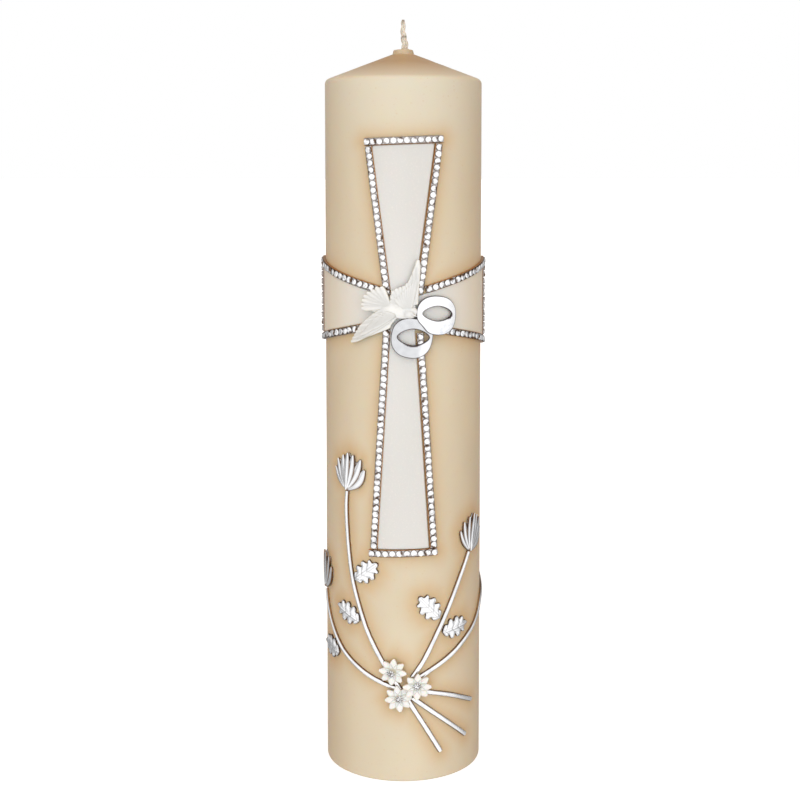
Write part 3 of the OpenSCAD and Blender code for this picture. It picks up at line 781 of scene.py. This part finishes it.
def wick_strand(line, strand, around):
    """Points of one strand, thinner above and tapered at its tip, with how dark each is: painted
    shade between the fibres and where the strands cross, and darker towards the tip.
    """
    start, length = line[0][2], line[-1][2] - line[0][2]
    points, shades = [], []
    for q in line:
        t = (q[2] - start) / length
        phase = 2 * math.pi * (t * 1.5 + strand / 3)
        slim = 1.0 - 0.34 * min(1, max(0, (t - 0.45) / 0.35))
        if t > 0.93:
            slim *= 1 - 0.45 * (t - 0.93) / 0.07
        x = q[0] + 0.82 * slim * math.sin(phase)
        y = 0.46 * slim * math.sin(2 * phase)
        z = q[2] - 0.25 * (1 - t)
        for k in range(around):
            a = 2 * math.pi * k / around
            fibres = math.cos(5 * a + 10 * math.pi * t)
            fuzz = wobble(x * 3 + k, strand * 5.0, z * 2)
            r = 0.74 * slim * (1 + 0.05 * fibres + 0.05 * fuzz)
            points.append(((x + r * math.cos(a)) * MM, (y + r * math.sin(a)) * MM, z * MM))
            # painted shade where the strands cross
            crossing = 1.3 * math.exp(-((t - 0.56 - 0.035 * math.cos(a)) / 0.022) ** 2)
            shades.append(0.4 * max(0.0, -fibres) ** 2 + 0.8 * max(0, (t - 0.9) / 0.1)
                          + 0.7 * crossing)
    return points, shades


def make_wick():
    """Three plaited strands along the CAD wick."""
    line = wick_line()
    around = 15
    places, faces, shades = [], [], []
    for strand in range(3):
        first, end = len(places), len(places) + (len(line) - 1) * around
        points, darkening = wick_strand(line, strand, around)
        places += points
        shades += darkening
        faces += tube(len(line), around, first)
        faces.append(tuple(first + k for k in range(around - 1, -1, -1)))
        faces.append(tuple(end + k for k in range(around)))
    make_piece("plaited_wick", places, faces, cotton_material(), ["wick"],
               {"groove": shades})


# ---------------------------------------------------------------- cross

# each strip, and which of its lips shows a painted bronze reflection of the warm wax (see
# make_strip)
STRIPS = {"trim_top": -1, "trim_upper_left": -1, "trim_upper_right": 1,
          "trim_left_arm_upper": 1, "trim_left_arm_end": None, "trim_left_arm_lower": 1,
          "trim_right_arm_upper": 0, "trim_right_arm_end": None, "trim_right_arm_lower": 0,
          "trim_lower_left": -1, "trim_lower_right": 1, "trim_bottom": 0}


def bead_centres(node):
    """Centres (u, z) of a strip's beads, in order upwards or to the right."""
    flat = unrolled(node)
    tops = flat[flat[:, 2] > flat[:, 2].max() - 0.05][:, :2]
    centres = []
    for p in tops:
        if all(np.linalg.norm(p - c) > 0.8 for c in centres):
            centres.append(p)
    centres = np.array(centres)
    axis = np.linalg.svd(centres - centres.mean(0))[2][0]
    axis = axis * np.sign(axis[np.argmax(np.abs(axis))])
    return centres[np.argsort(centres @ axis)]


def strip_path(centres):
    first = centres[0] - (centres[1] - centres[0]) / 2
    last = centres[-1] + (centres[-1] - centres[-2]) / 2
    return np.vstack([first, centres, last])


def make_strip(node, material, rng, bronze_reflection):
    """Channel with thin lips, filled with beads. The last argument says which lips are painted
    with a bronze reflection of the warm wax: 1 the left one, -1 the right one, 0 both, None
    neither."""
    solid = Solid()
    centres = bead_centres(node)
    half = 1.6
    lip, floor = 1.22, 0.95
    plain_lips, marked = (1, 1.2, 0.5, 0.2), (2.0, 2.0, 2.0, 1.6)
    left = marked if bronze_reflection in (1, 0) else plain_lips
    right = marked if bronze_reflection in (-1, 0) else plain_lips
    section = [(-half, 0.03), (half, 0.03), (half, lip - 0.3), (half - 0.07, lip - 0.06),
               (half - 0.16, lip), (half - 0.30, floor), (0.30 - half, floor),
               (0.16 - half, lip), (0.07 - half, lip - 0.06), (-half, lip - 0.3)]
    # painted shade on the outer walls, the lips and the channel floor between the beads
    shades = [right[0], *left, 0.6, 0.6, right[3], right[2], right[1]]
    path = smooth_line(strip_path(centres), 1.0)
    ribbon(solid, path, section, shades)
    for centre in centres:
        add_bead(solid, centre, floor, rng)
    solid.build(node.replace("trim", "bead_strip"), material, "silver_trim", node)
    return centres


# a bead's rings from its foot up: radius and height fractions, and painted shade
BEAD_RINGS = [(1.0, 0.0, 1.0), (0.985, 0.42, 0.9), (0.945, 0.72, 0.2), (0.85, 0.88, 0.0),
              (0.60, 0.97, 0.0), (0.30, 1.0, 0.0)]


def add_bead(solid, centre, floor, rng):
    """A flattened, slightly beaten dome with painted shade at its foot and down one side."""
    around = 22
    radius = 1.37 * (1 + 0.07 * (rng.random() - 0.5))
    rise = 0.98 * (1 + 0.12 * (rng.random() - 0.5))
    x0 = centre[0] + 0.22 * (rng.random() - 0.5)
    z0 = centre[1] + 0.22 * (rng.random() - 0.5)
    lean = (0.36 * (rng.random() - 0.5), 0.36 * (rng.random() - 0.5))
    painted_dark = 2 * math.pi * rng.random()
    painted_side_shade = 1.9 * rng.random() ** 1.4
    seed = 40 * rng.random()
    points, groove = [], []
    for f, up, dark in BEAD_RINGS:
        for j in range(around):
            b = 2 * math.pi * j / around
            x, y = radius * f * math.cos(b), radius * f * math.sin(b)
            dent = 0.26 * wobble(x * 1.4, y * 1.4, seed) if up > 0.5 else 0
            points.append((x0 + x, z0 + y, floor + rise * up + (lean[0] * x + lean[1] * y) * up
                           + dent))
            # painted shade down one side of the bead
            side = painted_side_shade * max(0, math.cos(b - painted_dark)) ** 3 * (1 if 0.5 < f < 0.97 else 0)
            groove.append(min(1, dark + side))
    top = 0.26 * wobble(0, 0, seed)
    points.append((x0, z0, floor + rise + top))
    groove.append(0)
    points += [(p[0], p[1], floor - 0.3) for p in points[:around]]
    groove += [1.0] * around
    solid.add(points, dome_faces(len(BEAD_RINGS), around), groove)


def make_panel():
    loops = outlines("cross_panel")[:1]
    loops = [resampled(loops[0], 1.0)]
    reach = np.abs(loops[0][:, 0]).max()
    solid = Solid()

    def height(p, d):
        wave = np.array([wobble(x / 14, z / 22, 3.0) for x, z in p])
        return 0.42 + 0.28 * rounded(d, 0.35) + 0.05 * wave

    # painted light, growing towards the ends of the arms
    def painted_end_light(p, d):
        return np.clip((np.abs(p[:, 0]) - 0.25 * reach) / (0.45 * reach), 0, 1)

    relief(solid, loops, height, 1.5, base=0.02, insets=(0.15, 0.4), groove=painted_end_light)
    shades = list(solid.groove)
    n = len(shades) // 2
    shades[n:] = shades[:n]
    make_piece("pearl_cross", wrap(solid.points), solid.faces, pearl_sheet_material(),
               ["cross_panel"], {"end": shades})


def resampled(loop, step):
    """The same polygon with its long sides divided."""
    out = []
    for a, b in zip(loop, np.roll(loop, -1, axis=0)):
        count = max(1, int(np.linalg.norm(b - a) / step))
        out += [a + (b - a) * k / count for k in range(count)]
    return np.array(out)


# ---------------------------------------------------------------- dove and rings

DOVE_UNDER = 2.2    # height of the dove's underside above the wax


def sunk(p):
    """How far the dove dips towards the wax beyond the edge of the cross."""
    return 0.95 * np.clip((-18.5 - p[0]) / 5, 0, 1)


def inset(loop, gap):
    """The outline moved inwards by the gap."""
    ahead = np.roll(loop, -1, axis=0) - np.roll(loop, 1, axis=0)
    inwards = np.column_stack([-ahead[:, 1], ahead[:, 0]])
    moved = loop + inwards / np.linalg.norm(inwards, axis=1)[:, None] * gap
    return moved[edge_distance(moved, [loop]) > 0.9 * gap]


def feather(solid, root, tip, width, low, high, bend):
    """A blunt feather, low and high above the wax at its root and its tip."""
    drop = sunk(tip)

    def half_width(t):
        blunt = (1 - max(0, t - 0.85) / 0.15 * 0.8) ** 0.5
        return width * (0.45 + 0.55 * math.sin(math.pi * min(1, 0.10 + 0.55 * t))) * blunt

    blade(solid, root, tip, half_width, lambda t: low + (high - low) * t - drop * t * t, 0.7,
          bend=bend, crown=0.26, rows=12, columns=6, edge_shade=0.9)


def feathers(solid, roots, tips, width, low, high, step=0.0, bend=0.0):
    """A row of feathers; the tip of every other one is a step higher."""
    bends = np.broadcast_to(bend, len(tips))
    for i, tip in enumerate(tips):
        feather(solid, roots[i], tip, width, low, high + step * (i % 2), bends[i])


def add_dove_plate(solid):
    """A plate in the dove's outline, which carries the feathers."""
    for loop in outlines("dove")[:3]:
        # painted shade along the plate's edge
        relief(solid, [inset(smooth_loop(loop, 0.5), 0.65)],
               lambda p, d: 2.30 + 0.45 * rounded(d, 0.5) - sunk(p.T), 0.8,
               base=lambda p: DOVE_UNDER - sunk(p.T), insets=(0.15, 0.4),
               groove=lambda p, d: np.clip(0.5 - d, 0, 0.5))


def add_tail(solid):
    """Feathers fanned round the rump."""
    tips = [(-8.9, 219.1), (-11.0, 218.8), (-13.0, 217.6), (-14.8, 216.4),
            (-16.3, 214.9), (-17.0, 213.1), (-17.3, 211.3), (-17.2, 209.5)]
    feathers(solid, [(-5.6, 210.9)] * len(tips), tips, 1.3, 3.2, 2.85, 0.10)


def add_lowered_wing(solid):
    """Long feathers sweeping down to the left, and two rows of shorter ones over them."""
    t = np.linspace(0, 1, 13)
    tips = np.linspace((-23.0, 194.6), (-8.8, 209.2), 13)
    tips += np.outer(np.sin(np.pi * t), (-0.9, 1.0))
    feathers(solid, np.linspace((-5.1, 204.8), (-6.0, 209.0), 13), tips, 1.25, 3.2, 2.75, 0.08,
             0.5 * (1 - t))
    feathers(solid, [(-4.4, 206.4)] * 11, np.linspace((-17.6, 198.0), (-8.4, 208.6), 11),
             0.95, 3.5, 3.15)
    feathers(solid, [(-3.2, 206.9)] * 9, np.linspace((-12.4, 200.8), (-7.2, 208.0), 9),
             0.95, 3.8, 3.4)


def add_raised_wing(solid):
    """Feathers rising to a point, scalloped on the left, and shorter ones over them."""
    tips = [(-4.9, 213.8), (-4.7, 215.8), (-4.3, 217.4), (-2.9, 218.4), (-1.3, 218.9),
            (0.3, 219.5), (1.7, 220.7), (2.9, 222.3), (3.9, 224.6), (4.9, 227.4), (5.9, 230.5)]
    feathers(solid, np.linspace((-1.8, 210.2), (5.0, 211.6), len(tips)), tips,
             1.25, 3.3, 2.8, 0.08, 0.25)
    feathers(solid, np.linspace((0.2, 210.2), (2.8, 210.2), 9),
             np.linspace((-3.4, 214.2), (5.1, 222.0), 9), 1.0, 3.7, 3.15)


def make_dove():
    """Flying to the right, with a smooth oval body, an oval head and a beak."""
    solid = Solid()
    add_dove_plate(solid)
    add_tail(solid)
    add_lowered_wing(solid)
    add_raised_wing(solid)
    add_oval(solid, (-2.4, 209.2), 8.4, 3.7, -8, 2.4, 1.35)
    add_oval(solid, (1.8, 207.8), 3.4, 2.3, -18, 2.2, 1.55)
    blade(solid, (3.4, 207.4), (5.6, 206.3), lambda t: 0.7 * (1 - t) + 0.05,
          lambda t: 3.4 - 0.5 * t, 0.7, crown=0.4, rows=6, columns=6)
    solid.build("dove_relief", dove_material(), "pearl_wax", "dove")


def add_oval(solid, middle, long, short, angle, h, dome):
    """Closed domed oval, turned by the angle in degrees."""
    sides = 40
    rings = 9
    points, groove = [], []
    c, s = math.cos(math.radians(angle)), math.sin(math.radians(angle))
    for k in range(rings):
        f = math.cos(math.pi / 2 * k / rings)
        for j in range(sides):
            b = 2 * math.pi * j / sides
            x, y = long * f * math.cos(b), short * f * math.sin(b)
            points.append((middle[0] + x * c - y * s, middle[1] + x * s + y * c,
                           h + dome * math.sin(math.pi / 2 * k / rings)))
            # painted shade round the foot of the oval
            groove.append(0.35 if k == 0 else 0)
    points.append((middle[0], middle[1], h + dome))
    groove.append(0)
    points += [(p[0], p[1], DOVE_UNDER) for p in points[:sides]]
    groove += [1] * sides
    solid.add(points, dome_faces(rings, sides), groove)


def make_ring(node, name, material, slot, shade, rim_shadow):
    """A thin plate in the shape of a ring seen at an angle, its edges rolled over.
    The last argument is where, and over what half width, a painted shadow darkens the lower rim of
    the opening."""
    loops = [smooth_loop(p, 0.35) for p in outlines(node)[:2]]
    flat = unrolled(node)
    top = flat[flat[:, 2] > flat[:, 2].mean()]
    plane = np.linalg.lstsq(np.column_stack([top[:, :2], np.ones(len(top))]), top[:, 2],
                            rcond=None)[0]
    middle = loops[1].mean(0)
    size = np.ptp(loops[0], axis=0) / 2
    solid = Solid()

    def height(p, d):
        level = p @ plane[:2] + plane[2]
        # the band bows outwards between the opening and the foot of the ring
        bow = 0.35 * np.clip((middle[1] - p[:, 1]) / size[1], 0, 1) * (
            1 - ((p[:, 0] - middle[0]) / size[0]) ** 2)
        return level - 0.28 + 0.28 * rounded(d, 0.3) + bow

    def under(p):
        return p @ plane[:2] + plane[2] - 0.6

    # painted shade along the edges and a painted shadow under the lower rim of the opening
    def groove(p, d):
        inner = edge_distance(p, loops[1:])
        below = 0.5 * (p[:, 1] < middle[1]) * np.exp(-((p[:, 0] - rim_shadow[0]) / rim_shadow[1]) ** 2)
        return np.maximum(np.clip((0.42 - d) / 0.2, 0, 1),
                          np.clip((0.42 + below - inner) / 0.2, 0, 1))

    relief(solid, loops, height, 0.45, base=under, insets=(0.12, 0.3, 0.45), groove=groove)
    solid.build(name, material, slot, node, shade=shade)


def crumple(p, scale):
    return np.array([wobble(q[0] / scale, q[1] / scale, 2.0) for q in p])


def upper_ring_shade(p):
    """Painted reflections: bright, with grey crumpled patches at the foot and towards its right.
    """
    centre, half = middle_of(p)
    low = np.clip((centre[1] - 0.35 * half[1] - p[:, 1]) / (0.55 * half[1]), 0, 1)
    right = np.clip((p[:, 0] - centre[0]) / half[0] + 0.3, 0, 1)
    return np.clip(low * (0.25 + 0.6 * right) * (0.6 + 1.6 * crumple(p, 1.6)), 0, 0.6)


def lower_ring_shade(p):
    """Painted reflections: grey on the left and above, with a painted glint low on the right."""
    centre, half = middle_of(p)
    x = (p[:, 0] - centre[0]) / half[0]
    y = (p[:, 1] - centre[1]) / half[1]
    glint = np.exp(-((x - 0.62) / 0.22) ** 2) * np.clip(0.2 - y, 0, 1) * 2
    return np.clip(0.72 - 0.15 * x + 0.30 * crumple(p, 2.2) - glint, 0, 0.9)


def middle_of(p):
    low, high = p[:, :2].min(0), p[:, :2].max(0)
    return (low + high) / 2, (high - low) / 2


# ---------------------------------------------------------------- bouquet

# how much each stem is lengthened at its lower end, under the daisies
STEMS = {"stem_left": 0.0, "stem_far_left": 1.3, "stem_right": 0.0, "stem_far_right": 0.0,
         "tail_middle": 0.0, "tail_right": 0.0}
# the direction in which each tulip and leaf grows, in degrees, as in the CAD
TULIPS = {"tulip_left": 90, "tulip_far_left": 98, "tulip_right": 84, "tulip_far_right": 62}
LEAVES = {"leaf_left_upper": 38, "leaf_left_middle": 158, "leaf_left_lower": 172,
          "leaf_right_upper": 133, "leaf_right_lower": 8}
# how far each daisy is turned, in degrees, as in the CAD
DAISIES = {"upper": 17, "right": 20, "lower": 30}


def stem_line(node):
    """Centre line of a stem, from its upper end down."""
    flat = unrolled(node)
    ridge = flat[flat[:, 2] > flat[:, 2].max() - 0.05][:, :2]
    ridge = ridge[np.argsort(-ridge[:, 1])]
    line = [ridge[0]]
    for p in ridge[1:]:
        if np.linalg.norm(p - line[-1]) > 0.5:
            line.append(p)
    return np.array(line)


def make_stem(node, material, rng, more):
    """A silver bar along the CAD stem, with painted shade and a painted bronze reflection along
    its sides; more lengthens its lower end.
    """
    line = smooth_line(stem_line(node), 0.7)
    last = line[-1] - line[-2]
    line = np.vstack([line, line[-1] + last / np.linalg.norm(last) * max(more, 0.05)])
    solid = Solid()
    half, top = 1.1, 1.25
    section = [(-half, 0.02), (half, 0.02), (half, 0.40), (half * 0.88, 0.72),
               (half * 0.70, 0.98), (half * 0.42, 1.14), (half * 0.1, top),
               (-half * 0.14, top - 0.05), (-half * 0.42, 1.10), (-half * 0.70, 0.92),
               (-half * 0.88, 0.68), (-half, 0.38)]
    # painted shade along the sides, and the painted bronze reflection of the warm wax low on the
    # walls
    shades = [1, 1, 1.5, 1.0, 0.1, 0, 0, 0.1, 0, 0.1, 1.0, 1.5]
    seed = rng.random() * 50
    width = [1 + 0.10 * wobble(i * 0.23, seed, 0) for i in range(len(line))]
    ribbon(solid, line, section, shades, width)
    solid.build(node + "_relief", material, "silver_wax", node)
    return line


def foot_of(node, angle):
    """The outline point furthest back along the direction, where the piece starts."""
    loop = outlines(node, -1)[0]
    way = heading(math.radians(angle))
    return loop[np.argmin(loop @ way)], loop


def local(root, angle):
    """Maps drawing coordinates (x across, y along) to the unrolled side of the pillar."""
    a = math.radians(angle - 90)
    c, s = math.cos(a), math.sin(a)
    return lambda p: (root[0] + p[0] * c - p[1] * s, root[1] + p[0] * s + p[1] * c)


def make_tulip(node, angle, material):
    """Seven silver petals in two layers, fanned from the top of the stem."""
    root, loop = foot_of(node, angle)
    at = local(root, angle)
    solid = Solid()
    # the plate is painted dark, as shade in the gaps between the petals
    relief(solid, [smooth_loop(loop, 0.5)], lambda p, d: 0.40 + 0.35 * rounded(d, 0.4), 0.9,
           base=0.02, groove=lambda p, d: np.full(len(p), 0.6))

    def petal(tip, width, h0, h1, bend, root_x=0.0):
        def half_width(t):
            return width * math.sin(math.pi * min(1, 0.08 + 0.86 * t ** 1.2)) ** 0.8

        # painted shade at the petals' edges and a painted grey reflection down their middles
        blade(solid, at((root_x, 0.3)), at(tip), half_width,
              lambda t: h0 + (h1 - h0) * math.sin(math.pi * t * 0.62), 0.55, bend=bend,
              crown=0.30, rows=18, columns=16, edge_shade=1.3, edge_power=5,
              ribs=2, rib_depth=0.10, valley=0.5)

    petal((9.7, 9.9), 2.1, 0.72, 0.85, -1.6, 0.5)
    petal((-7.5, 9.5), 1.35, 0.70, 0.80, 0.8, -0.3)
    petal((-5.5, 13.4), 1.6, 0.88, 0.98, 0.8, -0.2)
    petal((7.9, 14.3), 1.9, 0.94, 1.05, -0.9, 0.3)
    petal((-1.8, 15.5), 1.75, 1.08, 1.18, 0.6, -0.1)
    petal((4.0, 16.0), 1.85, 1.16, 1.28, -0.4, 0.2)
    petal((1.3, 16.8), 1.65, 1.34, 1.50, 0.2, 0.0)
    solid.build(node + "_relief", material, "silver_wax", node)


def segment_distance(p, a, b):
    d = b - a
    t = np.clip(((p - a) @ d) / (d @ d), 0, 1)
    return np.linalg.norm(p - (a + d * t[:, None]), axis=1)


def lobes_and_notches(corners, root, way, across):
    """Lines from the midrib to each lobe's tip, and short ones in from each notch."""
    out = np.abs((corners - root) @ across)
    along = (corners - root) @ way
    lobes, notches = [], []
    for i, p in enumerate(corners):
        before, after = out[i - 1], out[(i + 1) % len(out)]
        if not 1 < along[i] < along.max() - 1:
            continue
        if out[i] > before and out[i] >= after:
            lobes.append((root + way * max(0.5, along[i] - 0.85 * out[i]), p))
        elif out[i] < before and out[i] <= after:
            notches.append((p + (root + way * along[i] - p) * 0.30 - way * 0.4, p))
    return lobes, notches


def nearest(p, segments):
    """Distance of each point to the nearest of the segments."""
    return np.min([segment_distance(p, *s) for s in segments] or [np.full(len(p), 9.0)], axis=0)


def make_leaf(node, angle, material):
    """A lobed leaf: swollen lobes, each with a vein, on a raised midrib."""
    root, corners = foot_of(node, angle)
    way = heading(math.radians(angle))
    across = np.array([-way[1], way[0]])
    lobes, notches = lobes_and_notches(corners, root, way, across)

    def height(p, d):
        x = (p - root) @ across
        y = (p - root) @ way
        swell = 0.50 * np.clip(d / 1.5, 0, 1) ** 0.7
        rib = 0.28 * np.exp(-(x / 0.36) ** 2) * np.clip(y / 2, 0, 1)
        vein = -0.16 * np.exp(-(nearest(p, lobes) / 0.25) ** 2)
        fold = -0.22 * np.exp(-(nearest(p, notches) / 0.35) ** 2)
        return 0.60 + 0.28 * rounded(d, 0.3) + swell + rib + vein + fold

    # painted shade beside the midrib, in the veins and folds, and round the rim
    def groove(p, d):
        x = (p - root) @ across
        beside = 0.28 * np.exp(-((np.abs(x) - 0.55) / 0.16) ** 2)
        vein = 0.45 * np.exp(-(nearest(p, lobes) / 0.17) ** 2)
        fold = 0.45 * np.exp(-(nearest(p, notches) / 0.2) ** 2)
        rim = 1.2 * np.clip(1 - d / 0.35, 0, 1)
        return np.maximum.reduce([beside, vein, fold, rim])

    solid = Solid()
    relief(solid, [smooth_loop(corners, 0.28)], height, 0.30, base=0.02, groove=groove)
    solid.build(node + "_relief", material, "silver_wax", node)


def make_daisy(node, spin, material, rng):
    """Eight cupped, pointed petals round a small raised eye."""
    flat = unrolled(node)
    loop = outlines(node)[0]
    centre = (loop.min(0) + loop.max(0)) / 2
    level = flat[:, 2].max() - 1.0
    radius = np.linalg.norm(loop - centre, axis=1).max()
    solid = Solid()
    for k in range(8):
        way = heading(math.radians(spin + (k + 0.5) * 45))
        reach = radius * (1 + 0.05 * (rng.random() - 0.5))
        high = 0.12 * (k % 2)
        blade(solid, centre + way * 0.5, centre + way * reach,
              lambda t: 1.6 * math.sin(math.pi * min(1, 0.12 + 0.82 * t)) ** 0.8,
              lambda t: level + high + 0.20 + 0.55 * t - 0.35 * t * t, 0.55, crown=-0.14,
              cup=0.26, rows=14, columns=10, edge_shade=0.7)
    eye = np.array([centre + 1.9 * heading(k * math.pi / 14) for k in range(28)])
    # painted shadow under the stone, darkest in the middle of the eye
    relief(solid, [eye], lambda p, d: level + 0.30 + 0.35 * rounded(d, 0.9), 0.4,
           base=level - 0.3, groove=lambda p, d: np.clip(0.3 + d, 0, 1))
    solid.build(node + "_petals", material, "pearl_petal", node)


def add_facets(solid, centre, r, level):
    """A flat table over two rows of facets; a row is (radius, height, corners, turn)."""
    around = 16
    points, groove = [], []
    for f, h, corners, turn in [(1.0, 0.0, 16, 0), (1.0, 0.18, 16, 0), (0.80, 0.62, 8, 0.5),
                                (0.50, 0.92, 8, 0)]:
        for k in range(around):
            a = 2 * math.pi * (round(k * corners / around) + turn) / corners
            points.append((centre[0] + r * f * math.cos(a), centre[1] + r * f * math.sin(a),
                           level + h))
            # painted shade round the stone's foot
            groove.append(0.8 if h < 0.1 else 0.0)
    ends = [tuple(range(3 * around, 4 * around)), tuple(range(around - 1, -1, -1))]
    solid.add(points, tube(4, around) + ends, groove)


def add_claws(solid, centre, r, level):
    count = 10
    for k in range(count):
        way = heading(2 * math.pi * k / count + 0.3)
        blade(solid, centre + way * (r + 0.35), centre + way * (r - 0.35),
              lambda t: 0.24 * (1 - 0.6 * t), lambda t: level + 0.15 + 0.35 * t, 0.4,
              crown=0.12, rows=4, columns=4, edge_shade=0.9)


def make_stone(node, material, setting):
    """A cut stone held by ten small claws."""
    flat = unrolled(node)
    centre = (flat[:, :2].min(0) + flat[:, :2].max(0)) / 2
    level, r = flat[:, 2].min(), np.ptp(flat[:, 0]) / 2
    cut = Solid()
    add_facets(cut, centre, r, level)
    cut.build(node + "_cut", material, "rhinestone", node, flat=True)
    claws = Solid()
    add_claws(claws, centre, r, level)
    claws.build(node + "_claws", setting, "silver_trim")


# ---------------------------------------------------------------- build it all

make_camera()
make_light()
make_floor()

rng = random.Random(11)
trim_silver = silver_material("bead_silver", (0.95, 0.95, 0.96), (0.13, 0.075, 0.045), 0.16, 0.10)
wax_silver = silver_material("foil_silver", (0.955, 0.955, 0.965), (0.14, 0.085, 0.05), 0.18, 0.30)
leaf_silver = silver_material("leaf_silver", (0.95, 0.955, 0.97), (0.10, 0.07, 0.05), 0.16, 0.3,
                              painted_dark=0.45)
# one ring silver painted twice: lit and bright for the upper ring, shaded and grey for the lower
lit_ring_silver = silver_material("ring_bright", (0.96, 0.965, 0.98), (0.07, 0.05, 0.05), 0.12, 0.05,
                              grey=(0.58, 0.62, 0.70), painted_dark=0.0)
shaded_ring_silver = silver_material("ring_grey", (0.90, 0.91, 0.93), (0.07, 0.05, 0.05), 0.24, 0.05,
                            grey=(0.60, 0.61, 0.63), painted_dark=0.0)
petal_pearl = petal_material()
stone = stone_material()

trim_points = []
make_panel()
for node, bronze_reflection in STRIPS.items():
    trim_points.append(strip_path(make_strip(node, trim_silver, rng, bronze_reflection)))
make_dove()
make_ring("ring_lower", "lower_ring_relief", shaded_ring_silver, "ring_grey", lower_ring_shade, (3.6, 2.4))
make_ring("ring_upper", "upper_ring_relief", lit_ring_silver, "ring_bright", upper_ring_shade,
          (20.0, 1.0))
for node, more in STEMS.items():
    trim_points.append(make_stem(node, wax_silver, rng, more))
for node, angle in TULIPS.items():
    make_tulip(node, angle, wax_silver)
    trim_points.append(outlines(node, -1)[0])
for node, angle in LEAVES.items():
    make_leaf(node, angle, leaf_silver)
    trim_points.append(outlines(node, -1)[0])
for name, spin in DAISIES.items():
    make_daisy("daisy_" + name, spin, petal_pearl, rng)
    make_stone("stone_" + name, stone, trim_silver)
    trim_points.append(outlines("daisy_" + name)[0])
make_wax(np.concatenate(trim_points))
make_wick()
